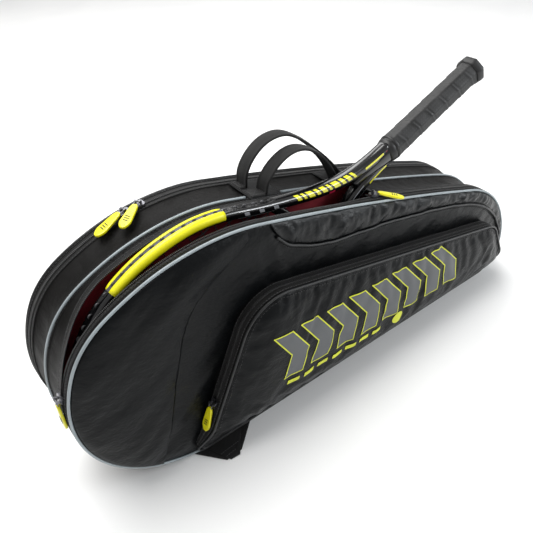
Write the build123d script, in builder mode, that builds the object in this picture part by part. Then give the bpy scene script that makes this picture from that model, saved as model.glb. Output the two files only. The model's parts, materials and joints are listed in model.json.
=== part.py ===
from build123d import *
from math import sin, cos, tan, radians, degrees, sqrt, acos, atan2
import os

# Racket tournament bag: two-compartment padded bag with a bulging zipped
# pocket, webbing handles, back straps and one racket standing in the open
# front compartment.  Millimetres, +Z up, front faces -Y, +X to the end where
# the racket handle comes out.  Origin: centre of the flat bottom.

# ------------------------------------------------------------ dimensions
X0, Y0 = 425.0, 58.0          # offset of the bag's left/front corner from the origin
BOTTOM_START = 155.8          # where the flat bottom meets the big left arc
ARC_R = [156.1, 104.2, 245.0, 3965.1, 182.4]      # profile radii, clockwise from the bottom
ARC_TURN = [114.9, 34.8, 42.7, 5.7, 60.1]         # their turns in degrees
WALL = 2.0                    # gusset fabric with foam
PANEL = 2.5                   # front and back panels
Y_FRONT, Y_MID, Y_MIDB, Y_REAR, Y_BACK = 2.5, 59.5, 61.0, 113.5, 116.0
ZIP_Y = 14.8                  # centre line of the main zip
MOUTH_F = 15.0                # front edge of the open mouth
MOUTH_L, MOUTH_R = 44.0, 51.0  # rear edge of the mouth, left and right part
MOUTH_T0 = 165.5              # left end of the mouth (profile angle)
MOUTH_X1 = 418.0              # right end of the mouth
REAR_ZIP_Y = 104.1
TAPE_T = 0.8
COIL_T = 1.8
PIPE = 2.0
POCKET_D = 24.0               # depth of the pocket's side wall
POCKET_SKIN = 3.0
HANDLE_T = 2.4
PIN_R, EYE_R = 1.2, 1.25      # pull hinge: pin and eye
SLIDER_GAP = 0.35             # slider above the zip coil
BODY_T = 2.6
PIN_H = 3.0                   # pin above the slider's top
TAB_L, TAB_T = 41.0, 3.0
R_BUTT = (614.0, 44.0, 357.0)  # racket butt centre
R_DIR = (-0.92153, -0.02672, -0.38738)   # from butt to tip
R_NRM = (-0.02464, 0.99964, -0.01036)    # racket plane normal
BEAM = 19.0                   # racket frame depth
TUBE = 17.0                   # racket frame width in its own plane

os.makedirs("parts", exist_ok=True)


def save(builder, label):
    builder.part.label = label
    export_step(builder.part, "parts/" + label + ".step")


# --------------------------------------------------------- profile helpers
def profile_arcs():
    """Clockwise chain of tangent arcs: (cx, cz, r, start angle, end angle)."""
    out = []
    px, pz, ang = BOTTOM_START, 0.0, 270.0
    turns = ARC_TURN + [360.0 - sum(ARC_TURN)]
    for i, turn in enumerate(turns):
        if i < len(ARC_R):
            r = ARC_R[i]
        else:
            r = pz / (1.0 + sin(radians(ang)))
        cx, cz = px - r * cos(radians(ang)), pz - r * sin(radians(ang))
        out.append((cx - X0, cz, r, ang, ang - turn))
        ang -= turn
        px, pz = cx + r * cos(radians(ang)), cz + r * sin(radians(ang))
    return out


ARCS = profile_arcs()


def pt(theta, d=0.0):
    """Point on the profile whose outward normal is at angle theta, d outside it."""
    for cx, cz, r, a0, a1 in ARCS:
        if a1 - 1e-9 <= theta <= a0 + 1e-9:
            return (cx + (r + d) * cos(radians(theta)), cz + (r + d) * sin(radians(theta)))
    raise ValueError(theta)


def theta_of_x(x):
    """Profile angle on the long top arc at design x."""
    cx, cz, r, a0, a1 = ARCS[3]
    return degrees(acos((x - X0 - cx) / r))


def spans(t0, t1):
    """Pieces of the arcs between the profile angles t0 > t1."""
    res = []
    for cx, cz, r, a0, a1 in ARCS:
        s, e = min(t0, a0), max(t1, a1)
        if s - e > 1e-6:
            res.append((cx, cz, r, s, e))
    return res


def arc_edge(cx, cz, r, s, e, d):
    m = (s + e) / 2
    p = [(cx + (r + d) * cos(radians(a)), cz + (r + d) * sin(radians(a))) for a in (s, m, e)]
    return ThreePointArc(*p)


def full_loop(d):
    """Closed profile d outside the nominal one, in the current BuildLine."""
    for cx, cz, r, s, e in spans(270.0, -90.0 + 1e-9):
        arc_edge(cx, cz, r, s, e, d)
    a, b = pt(-90.0 + 1e-9, d), pt(270.0, d)
    Line(a, b)


def band_loop(t0, t1, d0, d1):
    """Closed strip of the profile between two angles and two offsets."""
    sp = spans(t0, t1)
    for c in sp:
        arc_edge(*c, d1)
    Line(pt(t1, d1), pt(t1, d0))
    for cx, cz, r, s, e in reversed(sp):
        arc_edge(cx, cz, r, e, s, d0)
    Line(pt(t0, d0), pt(t0, d1))


def yplane(y):
    """Sketch plane at design y: local x = +X, local y = +Z, extrudes toward -Y."""
    return Plane(origin=(0, y - Y0, 0), x_dir=(1, 0, 0), z_dir=(0, -1, 0))


def xz(points):
    return [(x - X0, z) for x, z in points]


def rounded(points, radii, grow=0.0):
    """Closed polygon with a rounded corner at each point, grown outward."""
    n = len(points)
    # grow by moving each side outward (points run clockwise seen from the front)
    pts = []
    for i in range(n):
        a, b, c = points[i - 1], points[i], points[(i + 1) % n]
        l1 = sqrt((b[0] - a[0]) ** 2 + (b[1] - a[1]) ** 2)
        l2 = sqrt((c[0] - b[0]) ** 2 + (c[1] - b[1]) ** 2)
        u1 = ((b[0] - a[0]) / l1, (b[1] - a[1]) / l1)
        u2 = ((c[0] - b[0]) / l2, (c[1] - b[1]) / l2)
        n1, n2 = (-u1[1], u1[0]), (-u2[1], u2[0])
        k = grow / (1 + n1[0] * n2[0] + n1[1] * n2[1])
        pts.append((b[0] + k * (n1[0] + n2[0]), b[1] + k * (n1[1] + n2[1])))
    prev = None
    first = None
    for i in range(n):
        a, b, c = pts[i - 1], pts[i], pts[(i + 1) % n]
        r = max(radii[i] + grow, 0.5)
        l1 = sqrt((a[0] - b[0]) ** 2 + (a[1] - b[1]) ** 2)
        l2 = sqrt((c[0] - b[0]) ** 2 + (c[1] - b[1]) ** 2)
        ua, uc = ((a[0] - b[0]) / l1, (a[1] - b[1]) / l1), ((c[0] - b[0]) / l2, (c[1] - b[1]) / l2)
        half = acos(max(-1, min(1, ua[0] * uc[0] + ua[1] * uc[1]))) / 2
        t = r / tan(half)
        p1 = (b[0] + ua[0] * t, b[1] + ua[1] * t)
        p2 = (b[0] + uc[0] * t, b[1] + uc[1] * t)
        bis = (ua[0] + uc[0], ua[1] + uc[1])
        lb = sqrt(bis[0] ** 2 + bis[1] ** 2)
        cc = (b[0] + bis[0] / lb * r / sin(half), b[1] + bis[1] / lb * r / sin(half))
        pm = (cc[0] - bis[0] / lb * r, cc[1] - bis[1] / lb * r)
        if prev is not None:
            Line(prev, p1)
        else:
            first = p1
        ThreePointArc(p1, pm, p2)
        prev = p2
    Line(prev, first)


print("arc centres", [(round(c[0], 3), round(c[1], 3), round(c[2], 2), round(c[3], 2)) for c in ARCS])

# ------------------------------------------------------------ bag shells
with BuildPart() as front_panel:
    with BuildSketch(yplane(Y_FRONT)):
        with BuildLine():
            full_loop(0)
        make_face()
    extrude(amount=PANEL)
save(front_panel, "front_panel")

with BuildPart() as front_gusset:
    with BuildSketch(yplane(Y_MID)):
        with BuildLine():
            full_loop(0)
        make_face()
        with BuildLine():
            full_loop(-WALL)
        make_face(mode=Mode.SUBTRACT)
    extrude(amount=Y_MID - Y_FRONT)
    for t0, t1, y0, y1 in ((MOUTH_T0, 90.0, MOUTH_F, MOUTH_L),
                           (90.001, theta_of_x(402.0), MOUTH_F, MOUTH_R),
                           (theta_of_x(401.9), theta_of_x(MOUTH_X1), 24.0, MOUTH_R)):
        with BuildSketch(yplane(y1)):
            with BuildLine():
                band_loop(t0, t1, -WALL - 6, 6)
            make_face()
        extrude(amount=y1 - y0, mode=Mode.SUBTRACT)
save(front_gusset, "front_gusset")

with BuildPart() as mid_divider:
    with BuildSketch(yplane(Y_MIDB)):
        with BuildLine():
            full_loop(0)
        make_face()
    extrude(amount=Y_MIDB - Y_MID)
save(mid_divider, "mid_divider")

with BuildPart() as divider_lining:
    with BuildSketch(yplane(Y_MID)):
        with BuildLine():
            full_loop(-WALL - 0.2)
        make_face()
    extrude(amount=1.2)
save(divider_lining, "divider_lining")

with BuildPart() as rear_gusset:
    with BuildSketch(yplane(Y_REAR)):
        with BuildLine():
            full_loop(0)
        make_face()
        with BuildLine():
            full_loop(-WALL)
        make_face(mode=Mode.SUBTRACT)
    extrude(amount=Y_REAR - Y_MIDB)
save(rear_gusset, "rear_gusset")

with BuildPart() as back_panel:
    with BuildSketch(yplane(Y_BACK)):
        with BuildLine():
            full_loop(0)
        make_face()
    extrude(amount=PANEL)
save(back_panel, "back_panel")

for label, y0, y1 in (("front_base_board", 4.0, 57.5), ("rear_base_board", 63.0, 111.5)):
    with BuildPart() as board:
        with BuildSketch(Plane.XY.offset(WALL + 0.2)):
            with Locations((430 - X0, (y0 + y1) / 2 - Y0)):
                RectangleRounded(500, y1 - y0, 8)
        extrude(amount=2.0)
    save(board, label)


# ------------------------------------------------------------ piping
def strip(pieces):
    """Bands standing on the profile: (t0, t1, d0, d1, y0, y1)."""
    for t0, t1, d0, d1, y0, y1 in pieces:
        with BuildSketch(yplane(y1)) as sk:
            with BuildLine():
                band_loop(t0, t1, d0, d1)
            make_face()
        extrude(sk.sketch, amount=y1 - y0, dir=(0, -1, 0))


P0, P1 = 259.0, -70.0
with BuildPart() as front_piping:
    strip([(P0, P1, 0.0, PIPE, 0.2, 3.6)])
save(front_piping, "front_piping")
with BuildPart() as middle_piping:
    strip([(P0, theta_of_x(256.0), 0.0, PIPE, 58.6, 61.9),
           (theta_of_x(303.0), theta_of_x(383.0), 0.0, PIPE, 58.6, 61.9),
           (theta_of_x(413.0), P1, 0.0, PIPE, 58.6, 61.9)])
save(middle_piping, "middle_piping")
with BuildPart() as rear_piping:
    strip([(P0, P1, 0.0, PIPE, 112.6, 115.8)])
save(rear_piping, "rear_piping")

# ------------------------------------------------------------ main zip
Z0, Z1 = 205.0, 30.0
with BuildPart() as main_zip_front_tape:
    strip([(Z0, Z1, 0.0, TAPE_T, 4.0, 13.4)])
save(main_zip_front_tape, "main_zip_front_tape")
with BuildPart() as main_zip_rear_tape:
    strip([(Z0, MOUTH_T0 + 0.1, 0.0, TAPE_T, 16.2, 26.0),
           (169.0, MOUTH_T0 + 0.1, 0.0, TAPE_T, 16.2, 49.0),
           (MOUTH_T0 + 0.15, 90.0, 0.0, TAPE_T, MOUTH_L + 0.2, 49.0),
           (91.0, 89.9, 0.0, TAPE_T, MOUTH_L + 0.2, 53.6),
           (90.0, theta_of_x(MOUTH_X1) - 0.001, 0.0, TAPE_T, MOUTH_R + 0.2, 53.6),
           (theta_of_x(MOUTH_X1 + 0.2), theta_of_x(MOUTH_X1 + 7), 0.0, TAPE_T, 16.2, 53.6),
           (theta_of_x(MOUTH_X1 + 0.2), Z1, 0.0, TAPE_T, 16.2, 23.8),
           (theta_of_x(403.0), Z1, 0.0, TAPE_T, 16.2, 23.8)])
save(main_zip_rear_tape, "main_zip_rear_tape")
with BuildPart() as main_zip_coil:
    strip([(Z0, Z1, 0.0, COIL_T, 13.6, 14.7),
           (Z0, 167.0, 0.0, COIL_T, 14.6, 16.0),
           (theta_of_x(404.0), Z1, 0.0, COIL_T, 14.6, 16.0)])
save(main_zip_coil, "main_zip_coil")
with BuildPart() as main_zip_end_stops:
    strip([(Z0 + 1.2, Z0 + 0.05, 0.0, 2.6, 11.5, 18.1),
           (Z1 - 0.05, Z1 - 1.2, 0.0, 2.6, 11.5, 18.1)])
save(main_zip_end_stops, "main_zip_end_stops")

# ------------------------------------------------------------ rear zip
RZ0, RZ1 = 212.0, 22.0
with BuildPart() as rear_zip_tapes:
    strip([(RZ0, RZ1, 0.0, TAPE_T, REAR_ZIP_Y - 6.6, REAR_ZIP_Y - 1.4),
           (RZ0, RZ1, 0.0, TAPE_T, REAR_ZIP_Y + 1.4, REAR_ZIP_Y + 6.6)])
save(rear_zip_tapes, "rear_zip_tapes")
with BuildPart() as rear_zip_coil:
    strip([(RZ0, RZ1, 0.0, COIL_T, REAR_ZIP_Y - 1.2, REAR_ZIP_Y + 1.2)])
save(rear_zip_coil, "rear_zip_coil")

# ------------------------------------------------------------ front pocket
POCKET = xz([(115.0, 8.0), (204.0, 226.0), (655.0, 127.0), (707.0, 40.0), (690.0, 8.0)])
POCKET_R = [14.0, 55.0, 42.0, 26.0, 12.0]
POCKET_TOP = xz([(150.0, 26.0), (214.0, 206.0), (650.0, 110.0), (684.0, 50.0), (672.0, 26.0)])
with BuildPart() as pocket_gusset:
    with BuildSketch(yplane(0)):
        with BuildLine():
            rounded(POCKET, POCKET_R)
        make_face()
        with BuildLine():
            rounded(POCKET, POCKET_R, -WALL)
        make_face(mode=Mode.SUBTRACT)
    extrude(amount=POCKET_D)
save(pocket_gusset, "pocket_gusset")

with BuildPart() as pocket_front:
    with BuildSketch(yplane(-POCKET_D)):
        with BuildLine():
            rounded(POCKET, POCKET_R)
        make_face()
    extrude(amount=POCKET_SKIN)
    with BuildSketch(yplane(-POCKET_D - POCKET_SKIN)):
        with BuildLine():
            rounded(POCKET, POCKET_R, -7)
        make_face()
    extrude(amount=2.5)
    with BuildSketch(yplane(-POCKET_D - POCKET_SKIN - 2.5)):
        with BuildLine():
            rounded(POCKET_TOP, [20, 40, 34, 14, 8])
        make_face()
    extrude(amount=2.5)
save(pocket_front, "pocket_front")


def side_band(grow, y0, y1):
    """Strip standing on the pocket's side wall, left, top and right only."""
    with BuildSketch(yplane(y1)) as sk:
        with BuildLine():
            rounded(POCKET, POCKET_R, grow)
        make_face()
        with BuildLine():
            rounded(POCKET, POCKET_R)
        make_face(mode=Mode.SUBTRACT)
        with Locations((0, -100 + 62)):
            Rectangle(1000, 200 - 76, mode=Mode.SUBTRACT)
    extrude(sk.sketch, amount=y1 - y0, dir=(0, -1, 0))


with BuildPart() as pocket_piping:
    side_band(1.4, -POCKET_D - 2.6, -POCKET_D + 0.2)
save(pocket_piping, "pocket_piping")
PZ = -13.5
with BuildPart() as pocket_zip_tapes:
    side_band(TAPE_T, PZ - 6.4, PZ - 1.4)
    side_band(TAPE_T, PZ + 1.4, PZ + 6.4)
save(pocket_zip_tapes, "pocket_zip_tapes")
with BuildPart() as pocket_zip_coil:
    side_band(COIL_T, PZ - 1.2, PZ + 1.2)
save(pocket_zip_coil, "pocket_zip_coil")

# ------------------------------------------------------------ front trim
YOKE = xz([(249, 277), (264, 262), (286, 251), (305, 244), (326, 238.5), (367, 231), (433, 220),
           (484, 210), (542, 196), (588, 183), (636, 163), (670, 139), (700, 108), (724, 62), (728, 40)])
with BuildPart() as upper_yoke:
    with BuildSketch(yplane(0)):
        with BuildLine():
            full_loop(-2.5)
        make_face()
        with BuildLine():
            Spline(*YOKE)
            Polyline(YOKE[-1], (YOKE[-1][0] + 4, -40), (-600, -40), (-600, 400), (YOKE[0][0] - 12, 400), YOKE[0])
        make_face(mode=Mode.SUBTRACT)
    extrude(amount=1.5)
save(upper_yoke, "upper_yoke")


def ribbon(points, half, y0, y1, cut=0.0):
    """Flat strip of even width along a list of points on the front panel."""
    up, dn = [], []
    n = len(points)
    for i, p in enumerate(points):
        a, b = points[max(i - 1, 0)], points[min(i + 1, n - 1)]
        l = sqrt((b[0] - a[0]) ** 2 + (b[1] - a[1]) ** 2)
        nx, nz = -(b[1] - a[1]) / l, (b[0] - a[0]) / l
        up.append((p[0] + nx * (half - cut), p[1] + nz * (half - cut)))
        dn.append((p[0] - nx * half, p[1] - nz * half))
    with BuildSketch(yplane(y1)) as sk:
        with BuildLine():
            Spline(*up)
            Line(up[-1], dn[-1])
            Spline(*reversed(dn))
            Line(dn[0], up[0])
        make_face()
    extrude(sk.sketch, amount=y1 - y0, dir=(0, -1, 0))


with BuildPart() as yoke_piping:
    low = [(x, z - 2.7) for x, z in YOKE]
    ribbon(low, 1.5, -2.6, 0.0)
save(yoke_piping, "yoke_piping")

SEAM = xz([(77, 24), (100, 110), (117, 180), (127, 213), (140, 239), (162, 257), (192, 275), (214, 288)])
with BuildPart() as front_side_panel:
    with BuildSketch(yplane(0)):
        with BuildLine():
            full_loop(-2.5)
        make_face()
        with BuildLine():
            Spline(*SEAM)
            Polyline(SEAM[-1], (SEAM[-1][0] + 20, 400), (600, 400), (600, -40), (SEAM[0][0] - 2, -40), SEAM[0])
        make_face(mode=Mode.SUBTRACT)
    extrude(amount=1.5)
save(front_side_panel, "front_side_panel")

with BuildPart() as strap_tail:
    with BuildSketch(Plane.XY.offset(0.0)):
        with BuildLine():
            Polyline(*[(x - X0, y - Y0) for x, y in ((118, -0.4), (146, -31), (160, -36), (192, -18), (207, -0.4))], close=True)
        make_face()
    extrude(amount=2.6)
save(strap_tail, "strap_tail")


# ------------------------------------------------------------ handles
def patch(x0, x1, y0, y1):
    strip([(theta_of_x(x0), theta_of_x(x1), 0.0, 1.5, y0, y1)])


with BuildPart() as handle_patch_left:
    patch(257.0, 302.0, 54.0, 97.0)
save(handle_patch_left, "handle_patch_left")
with BuildPart() as handle_patch_right:
    patch(384.0, 412.0, 54.0, 97.0)
    patch(411.0, 436.0, 77.0, 97.0)
save(handle_patch_right, "handle_patch_right")


def arch(points, y0, y1):
    ribbon(points, HANDLE_T / 2, y0, y1)


def foot(x, lift):
    p = pt(theta_of_x(x), lift)
    return p


FH = [foot(279, 3.0)] + xz([(282, 300), (294, 315), (312, 325.5), (331, 327), (350, 319), (368, 303), (382, 283)]) + [foot(393, 3.0)]
RH = [foot(268, 3.0)] + xz([(270, 306), (281, 324), (301, 337), (326, 338), (350, 325), (374, 305), (398, 281)]) + [foot(420, 3.0)]
with BuildPart() as front_handle:
    arch(FH, 54.5, 74.0)
save(front_handle, "front_handle")
with BuildPart() as rear_handle:
    arch(RH, 77.5, 97.0)
save(rear_handle, "rear_handle")
print("front handle feet", FH[0], FH[-1], "rear handle feet", RH[0], RH[-1])


# ------------------------------------------------------------ sliders and pulls
def unit(v):
    l = sqrt(sum(c * c for c in v))
    return tuple(c / l for c in v)


def cross(a, b):
    return (a[1] * b[2] - a[2] * b[1], a[2] * b[0] - a[0] * b[2], a[0] * b[1] - a[1] * b[0])


def add(p, *terms):
    out = list(p)
    for v, k in terms:
        for i in range(3):
            out[i] += v[i] * k
    return tuple(out)


def slider(base, run, nrm, axis, label):
    """Slider body: base = point on the surface, run = travel direction,
    nrm = away from the surface, axis = pull hinge axis."""
    with BuildPart() as s:
        o = add(base, (nrm, COIL_T + SLIDER_GAP))
        with BuildSketch(Plane(origin=o, x_dir=run, z_dir=nrm)):
            with BuildLine():
                Polyline((-6.0, -3.2), (-2.0, -5.4), (4.2, -5.4), (6.0, -3.4), (6.0, 3.4), (4.2, 5.4), (-2.0, 5.4), (-6.0, 3.2), close=True)
            make_face()
        extrude(amount=BODY_T)
        side = unit(cross(nrm, axis))
        with BuildSketch(Plane(origin=add(o, (nrm, BODY_T - 0.3)), x_dir=axis, z_dir=nrm)):
            with Locations((-3.2, 0), (3.2, 0)):
                Rectangle(1.3, 3.2)
        extrude(amount=PIN_H + 1.5)
        with BuildSketch(Plane(origin=add(o, (nrm, BODY_T + PIN_H), (axis, -3.6)), x_dir=nrm, z_dir=axis)):
            Circle(PIN_R)
        extrude(amount=7.2)
    save(s, label)


def pull(pin, along, axis, label):
    """Pull: eye round the pin, then a flat moulded tab."""
    with BuildPart() as t:
        up = unit(cross(axis, along))
        with BuildSketch(Plane(origin=add(pin, (axis, -2.2)), x_dir=along, z_dir=axis)):
            Circle(2.5)
            with Locations((4.0, 0)):
                Rectangle(6.0, 2.0)
        extrude(amount=4.4)
        with BuildSketch(Plane(origin=add(pin, (up, -TAB_T / 2)), x_dir=along, z_dir=up)):
            with BuildLine():
                Polyline((5.5, -3.0), (9.0, -4.4), (27.0, -6.4), (34.0, -6.4), (TAB_L, -2.6), (TAB_L, 2.6), (34.0, 6.4), (27.0, 6.4), (9.0, 4.4), (5.5, 3.0), close=True)
            make_face()
        extrude(amount=TAB_T)
        with BuildSketch(Plane(origin=add(pin, (axis, -4.0)), x_dir=along, z_dir=axis)):
            Circle(EYE_R)
        extrude(amount=8.0, mode=Mode.SUBTRACT)
    save(t, label)


LIFT = COIL_T + SLIDER_GAP + BODY_T + PIN_H     # pin above the surface


def on_profile(theta, y):
    p = pt(theta)
    return (p[0], y - Y0, p[1]), (cos(radians(theta)), 0.0, sin(radians(theta))), (sin(radians(theta)), 0.0, -cos(radians(theta)))


def report(name, pin, axis):
    print(name, "pin", [round(c, 3) for c in pin], "axis", [round(c, 5) for c in axis])


# left slider of the main zip, its pull hangs straight down
SL_T = 168.0
b, n, t = on_profile(SL_T, ZIP_Y)
slider(b, t, n, (0.0, 1.0, 0.0), "main_slider_left")
pin = add(b, (n, LIFT))
pull(pin, (0.0, 0.0, -1.0), (0.0, 1.0, 0.0), "main_pull_left")
report("main_pull_left", pin, (0, 1, 0))

# right slider of the main zip, its pull lies along the zip
SR_T = theta_of_x(411.0)
b, n, t = on_profile(SR_T, ZIP_Y)
YAW = -28.0
ax = unit((-t[0] * sin(radians(YAW)), cos(radians(YAW)), -t[2] * sin(radians(YAW))))
slider(b, t, n, ax, "main_slider_right")
pin = add(b, (n, LIFT))
fwd = unit(add((0, 0, 0), (t, cos(radians(YAW))), ((0.0, 1.0, 0.0), sin(radians(YAW)))))
DIP = 4.0
along = unit(add((0, 0, 0), (fwd, cos(radians(DIP))), (n, -sin(radians(DIP)))))
pull(pin, along, ax, "main_pull_right")
report("main_pull_right", pin, ax)

# the two sliders of the rear zip, closed against each other
for label, th, yaw in (("rear_slider_left", 101.2, 18.0), ("rear_slider_right", 97.2, 38.0)):
    b, n, t = on_profile(th, REAR_ZIP_Y)
    back = (-t[0], 0.0, -t[2])
    fwd = unit(add((0, 0, 0), (back, cos(radians(yaw))), ((0.0, -1.0, 0.0), sin(radians(yaw)))))
    ax = unit(cross(n, fwd))
    slider(b, t, n, ax, label)
    pin = add(b, (n, LIFT))
    dip = 4.0
    along = unit(add((0, 0, 0), (fwd, cos(radians(dip))), (n, -sin(radians(dip)))))
    pull(pin, along, ax, label.replace("slider", "pull"))
    report(label, pin, ax)

# pocket slider on the pocket's slanting side, its pull rests against that side
A, B = POCKET[0], POCKET[1]
lab = sqrt((B[0] - A[0]) ** 2 + (B[1] - A[1]) ** 2)
t = ((B[0] - A[0]) / lab, 0.0, (B[1] - A[1]) / lab)
n = (-t[2], 0.0, t[0])
s = 92.0
b = (A[0] + t[0] * s, PZ - Y0, A[1] + t[2] * s)
slider(b, t, n, (0.0, 1.0, 0.0), "pocket_slider")
pin = add(b, (n, LIFT))
along = unit(add((0, 0, 0), (t, -cos(radians(5.0))), (n, -sin(radians(5.0)))))
pull(pin, along, (0.0, 1.0, 0.0), "pocket_pull")
report("pocket_pull", pin, (0, 1, 0))
print("pocket run", [round(c, 5) for c in t])

# ------------------------------------------------------------ back straps
PAD_X0, PAD_X1, PAD_W, PAD_T = 215.0, 470.0, 58.0, 7.0
WEB_END, BUCKLE_X = 605.0, 522.0
for label, zc in (("upper", 168.0), ("lower", 78.0)):
    with BuildPart() as anchor:
        with BuildSketch(yplane(Y_BACK + 2.2)):
            with Locations((PAD_X0 - 16 - X0, zc)):
                RectangleRounded(34, 46, 4)
        extrude(amount=2.2)
    save(anchor, label + "_strap_anchor")
    with BuildPart() as pad:
        with BuildSketch(yplane(Y_BACK + PAD_T + 0.3)):
            with BuildLine():
                rounded(xz([(PAD_X0 + 1.5, zc - 22), (PAD_X0 + 1.5, zc + 22), (PAD_X0 + 40, zc + PAD_W / 2), (PAD_X1 - 60, zc + PAD_W / 2), (PAD_X1, zc + 19),
                            (PAD_X1, zc - 19), (PAD_X1 - 60, zc - PAD_W / 2), (PAD_X0 + 40, zc - PAD_W / 2)]), [6, 6, 30, 40, 8, 8, 40, 30])
            make_face()
        extrude(amount=PAD_T)
    save(pad, label + "_strap_pad")
    with BuildPart() as webbing:
        with BuildSketch(yplane(Y_BACK + 2.2)):
            with Locations(((PAD_X1 + WEB_END) / 2 + 0.2 - X0, zc)):
                Rectangle(WEB_END - PAD_X1 - 0.4, 25)
        extrude(amount=1.8)
    save(webbing, label + "_strap_webbing")
    with BuildPart() as buckle:
        with BuildSketch(yplane(Y_BACK + 5.6)):
            with Locations((BUCKLE_X - X0, zc)):
                RectangleRounded(30, 34, 4)
        extrude(amount=5.3)
        with BuildSketch(Plane(origin=(BUCKLE_X - 20 - X0, Y_BACK + 1.3 - Y0, zc), x_dir=(0, 1, 0), z_dir=(1, 0, 0))):
            Rectangle(2.5, 25.8)
        extrude(amount=40, mode=Mode.SUBTRACT)
        with BuildSketch(yplane(Y_BACK + 6.0)):
            with Locations((BUCKLE_X - 7.5 - X0, zc), (BUCKLE_X + 7.5 - X0, zc)):
                Rectangle(5.5, 26)
        extrude(amount=7.0, mode=Mode.SUBTRACT)
    save(buckle, label + "_strap_buckle")



# ------------------------------------------------------------ racket
HALF = [(172, 8.0), (200, 9.0), (225, 12.5), (250, 19.4), (287, 35.8), (321, 55.5), (363, 82.5), (400, 108.0),
        (432, 123.2), (467, 131.0), (498, 132.3), (531, 127.5), (556, 119.5), (580, 107.0), (602, 88.5), (619, 64.0), (630, 34.0), (634, 0.0)]


def offset_half(points, d):
    out = []
    n = len(points)
    for i, p in enumerate(points):
        a = points[i - 1] if i > 0 else p
        b = points[i + 1] if i < n - 1 else (points[i - 1][0], -points[i - 1][1])
        l = sqrt((b[0] - a[0]) ** 2 + (b[1] - a[1]) ** 2)
        nx, ny = -(b[1] - a[1]) / l, (b[0] - a[0]) / l
        out.append((p[0] + nx * d, p[1] + ny * d))
    return out


def rplane(off=0.0):
    o = add((R_BUTT[0] - X0, R_BUTT[1] - Y0, R_BUTT[2]), (R_NRM, off))
    return Plane(origin=o, x_dir=R_DIR, z_dir=R_NRM)


OUT = offset_half(HALF, TUBE / 2)
INN = offset_half(HALF, -TUBE / 2)
OUT[0] = (172.0, 15.0)
with BuildPart() as racket_frame:
    with BuildSketch(rplane(-BEAM / 2)):
        with BuildLine():
            Spline(*OUT, tangents=[(1, 0), (0, -1)])
            Spline(*[(x, -y) for x, y in reversed(OUT)], tangents=[(0, -1), (-1, 0)])
            Line((OUT[0][0], -OUT[0][1]), OUT[0])
        make_face()
        # strung opening
        with BuildLine():
            Spline((331, 0), (337, 28), (352, 55), *[p for p in INN if p[0] > 375], tangents=[(0, 1), (0, -1)])
            Spline((331, 0), (337, -28), (352, -55), *[(x, -y) for x, y in INN if x > 375], tangents=[(0, -1), (0, 1)])
        make_face(mode=Mode.SUBTRACT)
        # throat opening
        with BuildLine():
            Spline((238, 0), (252, 9.5), (285, 25.5), (312, 39.5), tangents=[(0.15, 1), (1, 0.55)])
            Spline((312, 39.5), (318, 33), (313.5, 0), (318, -33), (312, -39.5))
            Spline((238, 0), (252, -9.5), (285, -25.5), (312, -39.5), tangents=[(0.15, -1), (1, -0.55)])
        make_face(mode=Mode.SUBTRACT)
    extrude(amount=BEAM)
save(racket_frame, "racket_frame")

with BuildPart() as string_bed:
    with BuildSketch(rplane(-0.7)):
        with BuildLine():
            Spline((331, 0), (337, 28), (352, 55), *[p for p in INN if p[0] > 375], tangents=[(0, 1), (0, -1)])
            Spline((331, 0), (337, -28), (352, -55), *[(x, -y) for x, y in INN if x > 375], tangents=[(0, -1), (0, 1)])
        make_face()
    extrude(amount=1.4)
save(string_bed, "string_bed")

with BuildPart() as bumper_guards:
    for sgn in (1, -1):
        seg = [p for p in offset_half(HALF, TUBE / 2 + 1.3) if 390 < p[0] < 540]
        segi = [p for p in offset_half(HALF, TUBE / 2 + 0.1) if 390 < p[0] < 540]
        with BuildSketch(rplane(-BEAM / 2)):
            with BuildLine():
                Spline(*[(x, sgn * y) for x, y in seg])
                Line((seg[-1][0], sgn * seg[-1][1]), (segi[-1][0], sgn * segi[-1][1]))
                Spline(*[(x, sgn * y) for x, y in reversed(segi)])
                Line((segi[0][0], sgn * segi[0][1]), (seg[0][0], sgn * seg[0][1]))
            make_face()
        extrude(amount=BEAM)
save(bumper_guards, "bumper_guards")


def rsec(u):
    o = add((R_BUTT[0] - X0, R_BUTT[1] - Y0, R_BUTT[2]), (R_DIR, u))
    return Plane(origin=o, x_dir=R_NRM, z_dir=R_DIR)


with BuildPart() as racket_grip:
    with BuildSketch(rsec(9.0)):
        RegularPolygon(16.5, 8, major_radius=False, rotation=22.5)
    extrude(amount=156.0)
save(racket_grip, "racket_grip")
with BuildPart() as grip_collar:
    with BuildSketch(rsec(165.0)):
        Ellipse(15.2, 17.6)
    extrude(amount=7.0)
save(grip_collar, "grip_collar")
with BuildPart() as butt_cap:
    with BuildSketch(rsec(0.0)):
        RegularPolygon(18.5, 8, major_radius=False, rotation=22.5)
    extrude(amount=9.0)
    fillet(butt_cap.faces().sort_by(Axis((0, 0, 0), R_DIR))[0].edges(), 2.0)
save(butt_cap, "butt_cap")
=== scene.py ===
import bpy
import bmesh
import json
import numpy as np
from math import sin, cos, radians, degrees, pi, sqrt, atan2, exp, acos
from mathutils import Vector, Matrix, noise
from mathutils.bvhtree import BVHTree
from mathutils.geometry import delaunay_2d_cdt


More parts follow.
